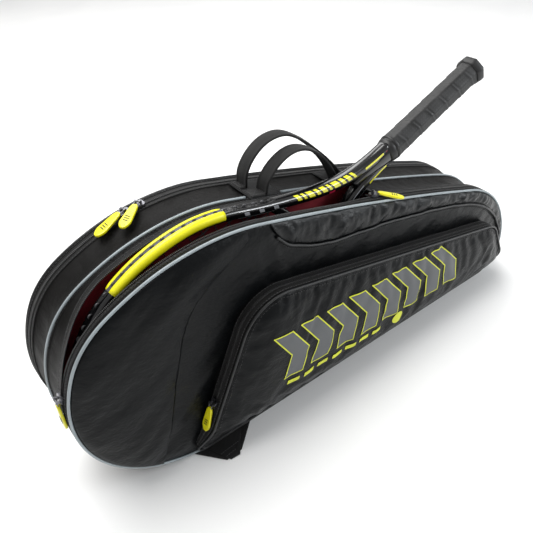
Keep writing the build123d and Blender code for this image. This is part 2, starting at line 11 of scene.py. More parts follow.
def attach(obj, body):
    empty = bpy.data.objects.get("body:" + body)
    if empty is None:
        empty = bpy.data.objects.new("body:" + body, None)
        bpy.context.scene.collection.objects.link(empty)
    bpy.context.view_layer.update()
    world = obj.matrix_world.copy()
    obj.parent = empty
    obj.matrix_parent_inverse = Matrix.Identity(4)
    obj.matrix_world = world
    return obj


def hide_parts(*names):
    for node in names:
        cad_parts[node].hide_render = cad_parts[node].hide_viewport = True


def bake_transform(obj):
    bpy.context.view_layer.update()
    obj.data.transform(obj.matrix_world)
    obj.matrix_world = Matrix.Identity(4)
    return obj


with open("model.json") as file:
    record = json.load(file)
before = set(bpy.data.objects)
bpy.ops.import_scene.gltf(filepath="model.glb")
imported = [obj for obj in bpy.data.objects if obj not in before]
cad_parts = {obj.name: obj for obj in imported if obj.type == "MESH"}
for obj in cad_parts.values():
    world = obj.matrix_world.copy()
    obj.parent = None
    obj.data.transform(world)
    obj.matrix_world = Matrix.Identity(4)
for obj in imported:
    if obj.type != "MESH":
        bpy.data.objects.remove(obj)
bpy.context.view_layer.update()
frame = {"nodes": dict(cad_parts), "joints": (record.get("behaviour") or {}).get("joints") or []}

NODES = frame["nodes"]

# All lengths below are millimetres in the design frame of the bag (x from its
# left end, y from its front piping, z up); to_row() turns them into the row
# frame in metres.
X0, Y0 = 425.0, 58.0


def to_row(p):
    a = np.asarray(p, float)
    return (a - np.array([X0, Y0, 0.0])) * 0.001


# ------------------------------------------------------------------ profile
def build_arcs():
    out, px, pz, ang = [], 155.8, 0.0, 270.0
    radii = [156.1, 104.2, 245.0, 3965.1, 182.4]
    turns = [114.9, 34.8, 42.7, 5.7, 60.1]
    turns.append(360.0 - sum(turns))
    for i, t in enumerate(turns):
        r = radii[i] if i < len(radii) else pz / (1 + sin(radians(ang)))
        cx, cz = px - r * cos(radians(ang)), pz - r * sin(radians(ang))
        out.append((cx, cz, r, ang, ang - t))
        ang -= t
        px, pz = cx + r * cos(radians(ang)), cz + r * sin(radians(ang))
    return out, px


ARCS, FLAT_X1 = build_arcs()
FLAT_X0 = 155.8
CUM = [0.0]
for _a in ARCS:
    CUM.append(CUM[-1] + _a[2] * radians(_a[3] - _a[4]))
S_ARCS = CUM[-1]
S_ALL = S_ARCS + FLAT_X1 - FLAT_X0


def prof(s):
    """Point and outward normal of the bag's outline at arc length s."""
    s = s % S_ALL
    if s >= S_ARCS:
        return FLAT_X1 - (s - S_ARCS), 0.0, 0.0, -1.0
    for i, (cx, cz, r, a0, a1) in enumerate(ARCS):
        if s <= CUM[i + 1] + 1e-9:
            t = radians(a0) - (s - CUM[i]) / r
            return cx + r * cos(t), cz + r * sin(t), cos(t), sin(t)


def s_th(theta):
    for i, (cx, cz, r, a0, a1) in enumerate(ARCS):
        if a1 - 1e-9 <= theta <= a0 + 1e-9:
            return CUM[i] + r * radians(a0 - theta)


def s_x(x):
    cx, cz, r, a0, a1 = ARCS[3]
    th = degrees(acos((x - cx) / r))
    if th > a0:
        cx, cz, r, a0, a1 = ARCS[2]
        th = degrees(acos((x - cx) / r))
    elif th < a1:
        cx, cz, r, a0, a1 = ARCS[4]
        th = degrees(acos((x - cx) / r))
    return s_th(th)


def on(s, y, d):
    """Point d outside the outline at depth y; nothing goes below the floor."""
    x, z, nx, nz = prof(s)
    return (x + nx * d, y, max(z + nz * d, 0.5))


LOOP = np.array([prof(s)[:2] for s in np.linspace(0, S_ALL, 700, endpoint=False)])


def inside(x, z):
    """Distance from points to the outline, positive inside."""
    p = np.stack([np.ravel(x), np.ravel(z)], 1)
    out = np.empty(len(p))
    for k in range(0, len(p), 2000):
        q = p[k:k + 2000]
        out[k:k + 2000] = np.sqrt(((q[:, None, :] - LOOP[None]) ** 2).sum(2)).min(1)
    return out.reshape(np.shape(x))


def smooth(t):
    t = np.clip(t, 0, 1)
    return t * t * (3 - 2 * t)


def n3(x, y, z):
    return noise.noise(Vector((x, y, z)))


def catmull(points, step, closed=False):
    """Dense polyline through control points at about the given spacing."""
    P = [np.asarray(p, float) for p in points]
    n = len(P)
    out = []
    last = n if closed else n - 1
    for i in range(last):
        if closed:
            a, b, c, d = P[i - 1], P[i], P[(i + 1) % n], P[(i + 2) % n]
        else:
            b, c = P[i], P[i + 1]
            a = P[i - 1] if i > 0 else 2 * b - c
            d = P[i + 2] if i + 2 < n else 2 * c - b
        ta, tb, tc = (max(np.linalg.norm(v), 1e-6) ** 0.5 for v in (b - a, c - b, d - c))
        k = max(2, int(round(np.linalg.norm(c - b) / step)))
        m1 = (c - b) + tb * ((b - a) / ta - (c - a) / (ta + tb))
        m2 = (c - b) + tb * ((d - c) / tc - (d - b) / (tb + tc))
        for j in range(k):
            t = j / k
            t2, t3 = t * t, t * t * t
            out.append((2 * t3 - 3 * t2 + 1) * b + (t3 - 2 * t2 + t) * m1 + (-2 * t3 + 3 * t2) * c + (t3 - t2) * m2)
    if not closed:
        out.append(P[-1])
    return np.array(out)


def resample(P, step, closed=False):
    P = np.asarray(P, float)
    if closed:
        P = np.vstack([P, P[:1]])
    L = np.r_[0, np.cumsum(np.linalg.norm(np.diff(P, axis=0), axis=1))]
    n = max(2, int(round(L[-1] / step)))
    t = np.linspace(0, L[-1], n + 1)
    Q = np.stack([np.interp(t, L, P[:, k]) for k in range(P.shape[1])], 1)
    return Q[:-1] if closed else Q


def round_poly(points, radii, grow=0.0, step=3.0):
    """Closed outline of a polygon with rounded corners, clockwise from the front."""
    n = len(points)
    pts = []
    for i in range(n):
        a, b, c = (np.array(points[k], float) for k in (i - 1, i, (i + 1) % n))
        u1, u2 = (b - a) / np.linalg.norm(b - a), (c - b) / np.linalg.norm(c - b)
        n1, n2 = np.array([-u1[1], u1[0]]), np.array([-u2[1], u2[0]])
        pts.append(b + grow / (1 + n1 @ n2) * (n1 + n2))
    out = []
    for i in range(n):
        a, b, c = pts[i - 1], pts[i], pts[(i + 1) % n]
        r = max(radii[i] + grow, 0.5)
        ua, uc = (a - b) / np.linalg.norm(a - b), (c - b) / np.linalg.norm(c - b)
        half = acos(max(-1, min(1, float(ua @ uc)))) / 2
        t = r / np.tan(half)
        bis = (ua + uc) / np.linalg.norm(ua + uc)
        cc = b + bis * r / sin(half)
        p1, p2 = b + ua * t, b + uc * t
        a1, a2 = atan2(*(p1 - cc)[::-1]), atan2(*(p2 - cc)[::-1])
        while a2 > a1:
            a2 -= 2 * pi
        m = max(3, int(r * (a1 - a2) / step))
        for k in range(m + 1):
            an = a1 + (a2 - a1) * k / m
            out.append(cc + r * np.array([cos(an), sin(an)]))
    return resample(np.array(out), step, True)


# ---------------------------------------------------------------- materials
class Mat:
    def __init__(self, name):
        self.m = bpy.data.materials.new(name)
        self.m.use_nodes = True
        self.t = self.m.node_tree
        self.b = self.t.nodes["Principled BSDF"]

    def node(self, kind, **kw):
        n = self.t.nodes.new(kind)
        for k, v in kw.items():
            if k in n.bl_rna.properties:
                setattr(n, k, v)
            else:
                n.inputs[k.replace("_", " ")].default_value = v
        return n

    def link(self, a, b):
        self.t.links.new(a, b)

    def coord(self, kind):
        if not hasattr(self, "tc"):
            self.tc = self.node("ShaderNodeTexCoord")
        return self.tc.outputs[kind]

    def set(self, **kw):
        for k, v in kw.items():
            self.b.inputs[k.replace("_", " ")].default_value = v
        return self

    def noise(self, scale, detail=3, rough=0.55, kind="Object", stretch=None):
        t = self.node("ShaderNodeTexNoise", Scale=scale, Detail=detail, Roughness=rough)
        src = self.coord(kind)
        if stretch:
            mp = self.node("ShaderNodeMapping")
            mp.inputs["Scale"].default_value = stretch
            self.link(src, mp.inputs["Vector"])
            src = mp.outputs[0]
        self.link(src, t.inputs["Vector"])
        return t.outputs["Fac"]

    def ramp(self, src, stops):
        r = self.node("ShaderNodeValToRGB")
        e = r.color_ramp.elements
        while len(e) < len(stops):
            e.new(0.5)
        for el, (p, c) in zip(e, stops):
            el.position = p
            el.color = (*c, 1) if len(c) == 3 else c
        self.link(src, r.inputs["Fac"])
        return r.outputs["Color"]

    def span(self, src, lo, hi, a=0.3, b=0.7):
        m = self.node("ShaderNodeMapRange")
        m.inputs["From Min"].default_value = a
        m.inputs["From Max"].default_value = b
        m.inputs["To Min"].default_value = lo
        m.inputs["To Max"].default_value = hi
        self.link(src, m.inputs["Value"])
        return m.outputs["Result"]

    def math(self, op, a, b=None):
        n = self.node("ShaderNodeMath", operation=op)
        for i, v in enumerate((a, b)):
            if v is None:
                continue
            if isinstance(v, (int, float)):
                n.inputs[i].default_value = v
            else:
                self.link(v, n.inputs[i])
        return n.outputs[0]

    def wave(self, period, direction, kind="UV", distort=0.4):
        """Fine bands with the given period in metres."""
        w = self.node("ShaderNodeTexWave", wave_type="BANDS", bands_direction=direction, wave_profile="SIN")
        k = 0.6283 if direction == "DIAGONAL" else 0.31416
        w.inputs["Scale"].default_value = k / period
        w.inputs["Distortion"].default_value = distort
        w.inputs["Detail"].default_value = 1.0
        self.link(self.coord(kind), w.inputs["Vector"])
        return w.outputs["Fac"]

    def bump(self, *layers):
        """layers: (height, distance in metres, strength)."""
        prev = None
        for h, dist, strength in layers:
            b = self.node("ShaderNodeBump")
            b.inputs["Distance"].default_value = dist
            b.inputs["Strength"].default_value = strength
            self.link(h, b.inputs["Height"])
            if prev is not None:
                self.link(prev, b.inputs["Normal"])
            prev = b.outputs["Normal"]
        self.link(prev, self.b.inputs["Normal"])
        return self


def scaled(c, k):
    return tuple(min(1.0, v * k) for v in c)


def cloth_mat(name, color, rough, period=0.0009, depth=0.00012, mottle=0.25, sheen=0.15, kind="UV", grain=True, spec=0.5, crease=0.0, twill=False):
    m = Mat(name)
    big = m.noise(38, 4, 0.6)
    fine = m.noise(900, 2, 0.6)
    mix = m.math("ADD", m.math("MULTIPLY", big, 0.7), m.math("MULTIPLY", fine, 0.3))
    m.link(m.ramp(mix, [(0.36, scaled(color, 1 - mottle)), (0.52, color), (0.7, scaled(color, 1 + mottle * 1.6))]), m.b.inputs["Base Color"])
    m.link(m.span(mix, rough - 0.07, rough + 0.09), m.b.inputs["Roughness"])
    if twill:
        weave = m.wave(period, "DIAGONAL", kind)
    else:
        weave = m.math("MAXIMUM", m.wave(period, "X", kind), m.wave(period, "Y", kind))
    layers = []
    if crease:
        c = m.noise(22, 5, 0.62, stretch=(1.0, 1.0, 1.6))
        layers.append((c, crease, 0.55))
    layers += [(weave, depth, 0.6), (fine, depth * 0.8, 0.5)]
    m.bump(*layers)
    m.set(Sheen_Weight=sheen, Sheen_Roughness=0.45, Specular_IOR_Level=spec)
    return m.m


COAT = cloth_mat("coated_fabric", (0.0026, 0.0031, 0.0036), 0.34, 0.0007, 0.00005, 0.25, 0.0, spec=0.13, crease=0.0052)
# lighter copy of the coated fabric for the yoke: its lighter base colour is a painted sheen; the lower roughness and
# stronger specular make it glossier
COAT_YOKE_SHEEN = cloth_mat("coated_fabric_yoke_painted_sheen", (0.0030, 0.0036, 0.0042), 0.30, 0.0007, 0.00005, 0.25, 0.0, spec=0.22, crease=0.0056)
GUSSET = cloth_mat("gusset_fabric", (0.0046, 0.0042, 0.0040), 0.5, 0.0011, 0.00016, 0.3, 0.02, spec=0.10, crease=0.0038)
BACKF = cloth_mat("matt_fabric", (0.0070, 0.0070, 0.0075), 0.6, 0.0012, 0.0002, 0.28, 0.03, spec=0.18)
BASEF = cloth_mat("base_fabric", (0.014, 0.0145, 0.0155), 0.5, 0.0014, 0.00022, 0.25, 0.1)
RED = cloth_mat("red_lining", (0.27, 0.006, 0.018), 0.55, 0.0008, 0.00012, 0.3, 0.25, crease=0.002)
TAPE = cloth_mat("zip_tape", (0.0055, 0.0053, 0.0053), 0.62, 0.0010, 0.0002, 0.25, 0.05, twill=True, spec=0.25)
WEB = cloth_mat("webbing", (0.0062, 0.0060, 0.0060), 0.6, 0.0019, 0.00042, 0.3, 0.06, twill=True, spec=0.28)
THREAD = cloth_mat("thread", (0.022, 0.022, 0.024), 0.6, 0.0006, 0.00015, 0.2, 0.3, kind="Object")
DARKTHREAD = cloth_mat("dark_thread", (0.006, 0.006, 0.007), 0.6, 0.0006, 0.00015, 0.2, 0.2, kind="Object")
BINDING = cloth_mat("binding_tape", (0.0055, 0.0055, 0.006), 0.62, 0.0012, 0.00028, 0.2, 0.05, twill=True, spec=0.25)
PIPE = cloth_mat("reflective_piping", (0.27, 0.31, 0.33), 0.36, 0.0009, 0.0001, 0.14, 0.02, spec=0.6, twill=True)
PIPE_K = cloth_mat("black_piping", (0.0045, 0.005, 0.0055), 0.36, 0.001, 0.0001, 0.2, 0.02, spec=0.45, twill=True)
BOARD = cloth_mat("board", (0.03, 0.03, 0.032), 0.7, 0.0022, 0.0003, 0.2, 0.0, kind="Object")


def mesh_fabric():
    m = Mat("air_mesh")
    v = m.node("ShaderNodeTexVoronoi", Scale=420)
    v.inputs["Randomness"].default_value = 0.12
    m.link(m.coord("UV"), v.inputs["Vector"])
    d = v.outputs["Distance"]
    # the cells are painted darker toward their sunken centres: painted shade in the mesh holes
    m.link(m.ramp(d, [(0.18, (0.004, 0.004, 0.0045)), (0.42, (0.012, 0.012, 0.013)), (0.8, (0.018, 0.018, 0.019))]), m.b.inputs["Base Color"])
    m.link(m.span(m.noise(60), 0.62, 0.8), m.b.inputs["Roughness"])
    m.bump((m.span(d, 0, 1, 0.15, 0.5), 0.0005, 0.8))
    m.set(Sheen_Weight=0.05, Specular_IOR_Level=0.25)
    return m.m


MESHF = mesh_fabric()


def solid_mat(name, color, rough, bump_scale=700, bump=0.00006, mottle=0.12, metallic=0.0, coat=0.0, spec=0.5, wear=0.0, var=0.07):
    """Moulded or painted surface with fine texture and slight wear."""
    m = Mat(name)
    a, b = m.noise(45, 4, 0.6), m.noise(bump_scale, 3, 0.6)
    m.link(m.ramp(a, [(0.34, scaled(color, 1 - mottle)), (0.55, color), (0.72, scaled(color, 1 + mottle))]), m.b.inputs["Base Color"])
    r = m.span(a, rough - var, rough + var)
    if wear:
        scr = m.noise(260, 4, 0.7, stretch=(1, 6, 1))
        r = m.math("ADD", r, m.span(scr, 0, wear, 0.5, 0.75))
    m.link(r, m.b.inputs["Roughness"])
    m.bump((b, bump, 0.5))
    m.set(Metallic=metallic, Coat_Weight=coat, Coat_Roughness=0.08, Specular_IOR_Level=spec)
    return m.m


METAL = solid_mat("slider_metal", (0.20, 0.20, 0.215), 0.3, 900, 0.00003, 0.2, 1.0, wear=0.2)
COILM = solid_mat("zip_coil", (0.012, 0.012, 0.0125), 0.34, 1400, 0.00004, 0.25, spec=0.6)
YELLOW = solid_mat("yellow_pull", (0.80, 0.74, 0.006), 0.34, 1100, 0.00005, 0.07, coat=0.15)
PULLINK = solid_mat("pull_mark", (0.05, 0.05, 0.02), 0.45, 1200, 0.00004, 0.3)
BUMPER = solid_mat("bumper_plastic", (0.80, 0.76, 0.006), 0.36, 420, 0.00012, 0.07, wear=0.12)
GROMMET = solid_mat("grommet_plastic", (0.05, 0.05, 0.055), 0.35, 900, 0.00004, 0.3)
PAINT = solid_mat("racket_paint", (0.0035, 0.0035, 0.004), 0.2, 1500, 0.00002, 0.3, coat=0.6, spec=0.4, var=0.05)
DECAL_Y = solid_mat("racket_accent_yellow", (0.80, 0.76, 0.01), 0.3, 1500, 0.00002, 0.06, coat=0.8)
DECAL_G = solid_mat("racket_accent_grey", (0.32, 0.33, 0.35), 0.3, 1500, 0.00002, 0.1, coat=0.8)
DECAL_R = solid_mat("racket_accent_red", (0.55, 0.012, 0.06), 0.3, 1500, 0.00002, 0.1, coat=0.8)
STRING = solid_mat("string", (0.035, 0.033, 0.035), 0.3, 1500, 0.00003, 0.3)
RUBBER = solid_mat("grip_rubber", (0.006, 0.006, 0.0065), 0.5, 800, 0.0001, 0.2)
BUCKLE = solid_mat("buckle_plastic", (0.014, 0.014, 0.0155), 0.42, 620, 0.0001, 0.2, wear=0.1)
PRINT_G = solid_mat("print_grey", (0.085, 0.09, 0.095), 0.5, 1200, 0.00005, 0.1)
PRINT_Y = solid_mat("print_yellow", (0.62, 0.66, 0.02), 0.48, 1200, 0.00005, 0.07)


def grip_mat():
    m = Mat("grip_wrap")
    base, fine = m.noise(60, 4, 0.6), m.noise(1400, 3, 0.65)
    m.link(m.ramp(base, [(0.35, (0.011, 0.011, 0.011)), (0.55, (0.019, 0.019, 0.0195)), (0.72, (0.034, 0.034, 0.035))]), m.b.inputs["Base Color"])
    m.link(m.span(base, 0.40, 0.58), m.b.inputs["Roughness"])
    v = m.node("ShaderNodeTexVoronoi", Scale=240)
    v.inputs["Randomness"].default_value = 0.0
    m.link(m.coord("UV"), v.inputs["Vector"])
    m.bump((m.span(v.outputs["Distance"], 0, 1, 0.06, 0.2), 0.0003, 0.5), (fine, 0.00012, 0.5))
    m.set(Sheen_Weight=0.02, Specular_IOR_Level=0.35)
    return m.m


GRIP = grip_mat()

# -------------------------------------------------------------- mesh tools
MADE = []


def make(name, verts, faces, mat, body="bag", replaces=(), slot=None, uvs=None, smooth_it=True, flip=False):
    me = bpy.data.meshes.new(name)
    v = to_row(verts)
    if flip:
        faces = [tuple(reversed(f)) for f in faces]
    me.from_pydata([tuple(p) for p in v], [], [tuple(f) for f in faces])
    if uvs is not None:
        layer = me.uv_layers.new(name="UVMap")
        if callable(uvs):
            for poly in me.polygons:
                for li in poly.loop_indices:
                    layer.data[li].uv = uvs(me.vertices[me.loops[li].vertex_index].co)
        else:
            k = 0
            seq = [tuple(reversed(f)) for f in uvs] if flip else uvs
            for f in seq:
                for c in f:
                    layer.data[k].uv = c
                    k += 1
    me.materials.append(mat)
    me.validate()
    if smooth_it:
        me.shade_smooth()
    o = bpy.data.objects.new(name, me)
    bpy.context.scene.collection.objects.link(o)
    if body:
        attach(o, body)
    if replaces:
        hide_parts(*replaces)
    MADE.append(o)
    return o


def grid(rows, closed_u=False, closed_v=False, cap0=False, cap1=False, base=0, uvoff=0.0):
    """Vertices, quads and metre UVs of a grid of points."""
    R = np.asarray(rows, float)
    nu, nv = R.shape[:2]
    du = np.linalg.norm(np.diff(np.concatenate([R, R[:1]]) if closed_u else R, axis=0), axis=2).mean(1)
    U = np.r_[0, np.cumsum(du)] * 0.001 + uvoff
    dv = np.linalg.norm(np.diff(np.concatenate([R, R[:, :1]], 1) if closed_v else R, axis=1), axis=2)
    V = np.concatenate([np.zeros((nu, 1)), np.cumsum(dv, 1)], 1) * 0.001
    faces, uvs = [], []
    for i in range(nu if closed_u else nu - 1):
        i2 = (i + 1) % nu
        for j in range(nv if closed_v else nv - 1):
            j2 = (j + 1) % nv
            faces.append((base + i * nv + j, base + i2 * nv + j, base + i2 * nv + j2, base + i * nv + j2))
            uvs.append(((U[i], V[i, j]), (U[i + 1], V[i2, j]), (U[i + 1], V[i2, j + 1]), (U[i], V[i, j + 1])))
    if cap0:
        f = tuple(base + j for j in range(nv))
        faces.append(f)
        uvs.append(tuple((U[0], V[0, j]) for j in range(nv)))
    if cap1:
        f = tuple(base + (nu - 1) * nv + j for j in reversed(range(nv)))
        faces.append(f)
        uvs.append(tuple((U[-1], V[-1, j]) for j in reversed(range(nv))))
    return R.reshape(-1, 3), faces, uvs


class Many:
    """Collects several grids into one mesh."""

    def __init__(self):
        self.v, self.f, self.u, self.n = [], [], [], 0

    def add(self, rows, **kw):
        v, f, u = grid(rows, base=self.n, **kw)
        self.v.append(v)
        self.f += f
        self.u += u
        self.n += len(v)

    def make(self, name, mat, **kw):
        return make(name, np.vstack(self.v), self.f, mat, uvs=self.u, **kw)


def loft(name, rows, mat, closed_u=False, closed_v=False, cap0=False, cap1=False, **kw):
    v, f, u = grid(rows, closed_u, closed_v, cap0, cap1)
    return make(name, v, f, mat, uvs=u, **kw)


def frames(path, closed=False, hint=(0, 1, 0)):
    """Tangent, side and up vectors along a polyline by parallel transport."""
    P = np.asarray(path, float)
    n = len(P)
    if closed:
        T = np.roll(P, -1, 0) - np.roll(P, 1, 0)
    else:
        T = np.gradient(P, axis=0)
    T /= np.linalg.norm(T, axis=1)[:, None]
    a = np.array(hint, float)
    A = np.empty_like(T)
    for i in range(n):
        a = a - T[i] * (a @ T[i])
        a /= max(np.linalg.norm(a), 1e-9)
        A[i] = a
    B = np.cross(T, A)
    return T, A, B


def tube_rows(path, r, n=10, closed=False, hint=(0, 1, 0), ra=None):
    """Rings of a round (or flattened, with ra along the hint) tube."""
    P = np.asarray(path, float)
    T, A, B = frames(P, closed, hint)
    rows = []
    for i in range(len(P)):
        rr = r[i] if hasattr(r, "__len__") else r
        aa = rr if ra is None else (ra[i] if hasattr(ra, "__len__") else ra)
        rows.append([P[i] + A[i] * aa * cos(2 * pi * k / n) + B[i] * rr * sin(2 * pi * k / n) for k in range(n)])
    return rows


def tube(name, path, r, mat, n=10, closed=False, hint=(0, 1, 0), ra=None, **kw):
    return loft(name, tube_rows(path, r, n, closed, hint, ra), mat, closed_u=closed, closed_v=True, cap0=not closed, cap1=not closed, **kw)


def thicken(o, t, offset=-1.0):
    m = o.modifiers.new("thickness", "SOLIDIFY")
    m.thickness = t * 0.001
    m.offset = offset
    m.use_even_offset = False
    return o


def subdivide(o, levels=1):
    m = o.modifiers.new("subdivision", "SUBSURF")
    m.levels = m.render_levels = levels
    return o


def stitches(name, paths, mat=THREAD, pitch=3.8, length=2.5, r=0.33, body="bag", lift=0.2, slot=None):
    """Rows of short thread capsules along polylines of (point, normal) pairs."""
    M = Many()
    for path, normals in paths:
        P, N = np.asarray(path, float), np.asarray(normals, float)
        L = np.r_[0, np.cumsum(np.linalg.norm(np.diff(P, axis=0), axis=1))]
        k = int(L[-1] / pitch)
        for i in range(k):
            c = (i + 0.5) * pitch
            def at(t):
                return np.array([np.interp(t, L, P[:, q]) for q in range(3)])
            nn = np.array([np.interp(c, L, N[:, q]) for q in range(3)])
            nn /= max(np.linalg.norm(nn), 1e-9)
            a, b = at(c - length / 2), at(c + length / 2)
            m = (a + b) / 2 + nn * (lift + r * 0.5)
            pts = [a - nn * 0.25, a * 0.8 + b * 0.2 + nn * lift, m, a * 0.2 + b * 0.8 + nn * lift, b - nn * 0.25]
            M.add(tube_rows(pts, [r * 0.5, r, r * 1.05, r, r * 0.5], 5, hint=nn), closed_v=True, cap0=True, cap1=True)
    if M.n:
        return M.make(name, mat, body=body, slot=slot)


def on_path(s0, s1, y, d, step=2.5):
    """(points, normals) along the outline at depth y."""
    n = max(3, int(abs(s1 - s0) / step))
    P, N = [], []
    for s in np.linspace(s0, s1, n):
        P.append(on(s, y(s) if callable(y) else y, d))
        q = prof(s)
        N.append((q[2], 0, q[3]))
    return P, N


def teeth(name, rows_of, mat=COILM, body="bag", replaces=(), pitch=1.7):
    """Coil elements: short capsules across the tape. rows_of: list of
    (path points, surface normals, side directions, length)."""
    M = Many()
    for P, N, D, ln in rows_of:
        P, N, D = (np.asarray(a, float) for a in (P, N, D))
        L = np.r_[0, np.cumsum(np.linalg.norm(np.diff(P, axis=0), axis=1))]
        for i in range(int(L[-1] / pitch)):
            c = (i + 0.5) * pitch
            p, nn, dd = (np.array([np.interp(c, L, a[:, q]) for q in range(3)]) for a in (P, N, D))
            nn /= np.linalg.norm(nn)
            dd /= np.linalg.norm(dd)
            pts = [p, p + dd * ln * 0.25 + nn * 0.55, p + dd * ln * 0.75 + nn * 0.6, p + dd * ln]
            M.add(tube_rows(pts, [0.42, 0.62, 0.66, 0.4], 6, hint=nn), closed_v=True, cap0=True, cap1=True)
    return M.make(name, mat, body=body, replaces=replaces, slot="zip_coil")


def cdt_region(outline, spacing):
    """Even triangle mesh of a region in the x-z plane: points and faces."""
    O = np.asarray(outline, float)
    lo, hi = O.min(0), O.max(0)
    pts = [Vector(p) for p in O]
    n = len(O)
    edges = [(i, (i + 1) % n) for i in range(n)]
    rows = int((hi[1] - lo[1]) / (spacing * 0.866)) + 2
    A, B = O, np.roll(O, -1, 0)
    cand = []
    for r in range(rows):
        z = lo[1] + r * spacing * 0.866
        x = lo[0] + (spacing / 2 if r % 2 else 0)
        while x < hi[0]:
            cand.append((x, z))
            x += spacing
    C = np.array(cand)
    D = B - A
    keep = np.zeros(len(C), bool)
    for k in range(len(C)):
        p = C[k]
        t = np.clip(((p - A) * D).sum(1) / (D * D).sum(1), 0, 1)
        q = A + D * t[:, None]
        dist = np.sqrt(((p - q) ** 2).sum(1)).min()
        cross = ((A[:, 1] > p[1]) != (B[:, 1] > p[1])) & (p[0] < A[:, 0] + (p[1] - A[:, 1]) / np.where(np.abs(D[:, 1]) < 1e-9, 1e-9, D[:, 1]) * D[:, 0])
        keep[k] = dist > spacing * 0.55 and cross.sum() % 2 == 1
    pts += [Vector(p) for p in C[keep]]
    v, _, f, *_ = delaunay_2d_cdt(pts, edges, [], 1, 1e-4)
    return np.array([tuple(p) for p in v]), [tuple(q) for q in f]


# --------------------------------------------------- front and back surfaces
def front_y(x, z):
    """Depth of the padded front panel's outer face."""
    x, z = np.asarray(x, float), np.asarray(z, float)
    d = inside(x, z)
    y = 2.4 - 6.5 * (1 - np.exp(-d / 20.0))
    w = np.empty(np.shape(x))
    flatx, flatz, out = np.ravel(x), np.ravel(z), np.ravel(w)
    for i in range(out.size):
        a, b = flatx[i], flatz[i]
        p, q = 0.80 * a + 0.60 * b, -0.60 * a + 0.80 * b
        fold = exp(-((a - 238) / 26) ** 2) * exp(-((b - 215) / 62) ** 2)
        out[i] = 2.2 * n3(p / 120, 3.1, q / 24) + 1.9 * n3(a / 70, 9.7, b / 60) + 0.7 * n3(p / 30, 5.5, q / 9) + fold * 4.0 * n3((a + 0.25 * b) / 9.0, 2.2, b / 70)
    w = out.reshape(np.shape(x))
    return y - w * smooth(d / 14.0)


def back_y(x, z):
    x, z = np.asarray(x, float), np.asarray(z, float)
    d = inside(x, z)
    y = 113.9 + 2.0 * (1 - np.exp(-d / 12.0))
    for zc in (34.0, 123.0, 214.0):
        y = y - 0.9 * np.exp(-((z - zc) / 2.6) ** 2) * smooth((d - 6) / 12)
    return y


def planar(name, xz, faces, y, mat, flip, **kw):
    v = np.stack([xz[:, 0], y, xz[:, 1]], 1)
    return make(name, v, faces, mat, uvs=lambda c: (c.x, c.z), flip=flip, **kw)


def sub_outline(grow, step=6.0, zmin=0.7):
    out = []
    for s in np.arange(0, S_ALL, step):
        x, z, nx, nz = prof(s)
        out.append((x + nx * grow, max(z + nz * grow, zmin)))
    return np.array(out)


P, F = cdt_region(sub_outline(-0.6), 6.5)
d = inside(P[:, 0], P[:, 1])
front = planar("front_panel_cover", P, F, front_y(P[:, 0], P[:, 1]), COAT, False, replaces=["front_panel"], slot="coated_fabric")
thicken(subdivide(front), 2.0, -1)
P, F = cdt_region(sub_outline(-0.6), 7.0)
back = planar("back_panel_cover", P, F, back_y(P[:, 0], P[:, 1]), BACKF, True, replaces=["back_panel"], slot="matt_fabric")
thicken(subdivide(back), 2.0, -1)


# ------------------------------------------------------------------- gussets
S_Z0, S_Z1 = s_th(205.0), s_th(30.0)          # main zip ends
S_M0 = s_th(166.3)                            # left end of the open mouth
S_CORNER = s_x(419.5)
RZ_S0, RZ_S1 = s_th(212.0), s_th(22.0)


def zone(s, a, b, soft):
    return float(smooth((s - a) / soft) * smooth((b - s) / soft))


def mouth_y(s):
    """Rear edge of the main opening: a lens between the two sliders."""
    if s <= S_M0 or s >= S_CORNER:
        return 15.4
    x = prof(s)[0]
    if x > 405:
        return 24.0 + 27.0 * sqrt(max(0.0, 1 - ((x - 405.0) / 14.5) ** 2))
    k = float(smooth((s - S_M0) / 118.0)) ** 1.25
    top = 43.5 + 7.5 * float(smooth((x - 250.0) / 130.0))
    return 15.4 + (top - 15.4) * k


def b_start(s):
    if S_Z0 - 6 <= s <= S_M0:
        return 22.0
    if S_M0 < s < S_CORNER:
        return max(mouth_y(s) + 1.0, 16.0)
    if S_CORNER <= s <= S_Z1 + 6:
        return 22.0
    return 15.0


def crease(s, y, amp, wl, seed):
    return amp * n3(s / wl, seed, y / (wl * 2.4))


def pucker(s, seed):
    """Small sharp tucks beside a sewn piping."""
    k = abs(n3(s / 17.0, seed, 0.3))
    return exp(-(k / 0.055) ** 2)


def droop(s):
    """The narrow zip band leans outward and down where the mouth stands open."""
    return 2.6 * zone(s, S_M0 + 15, S_CORNER - 14, 60) if S_M0 < s < S_CORNER else 0.0


SS = np.arange(0, S_ALL, 2.6)
rows = []
for s in SS:
    end = 8.8 if S_Z0 - 4 < s < S_Z1 + 4 else 15.0
    row = []
    for v in np.linspace(0, 1, 7):
        y = 2.0 + (end - 2.0) * v
        row.append(on(s, y, 0.5 + 0.9 * sin(pi * v) * (0.7 + 0.5 * n3(s / 25, 2.0, 0)) + (0.5 if end < 9 else 0.0) * v - droop(s) * 0.45 * v))
    rows.append(row)
a = loft("front_gusset_band", rows, GUSSET, closed_u=True, replaces=["front_gusset"], slot="gusset_fabric")
thicken(a, 1.3)

rows = []
for s in SS:
    y0 = b_start(s)
    open_ = S_M0 < s < S_CORNER
    row = []
    for v in np.linspace(0, 1, 17):
        y = y0 + (59.3 - y0) * v
        sag = 2.6 * sin(pi * v) ** 0.8 * min(1.0, (59.3 - y0) / 30)
        dd = 0.5 - sag + crease(s, y, 1.6, 38, 4.4) * sin(pi * min(v * 1.15, 1)) + crease(s, y, 0.7, 13, 8.1) * sin(pi * v)
        if open_:
            dd += 1.6 * (1 - v) ** 2
        dd -= 1.5 * pucker(s, 1.7) * exp(-((1 - v) * (59.3 - y0) / 4.5) ** 2)
        row.append(on(s, y, dd))
    rows.append(row)
b = loft("front_gusset_cover", rows, GUSSET, closed_u=True, replaces=["front_gusset"], slot="gusset_fabric")
thicken(b, 1.4)

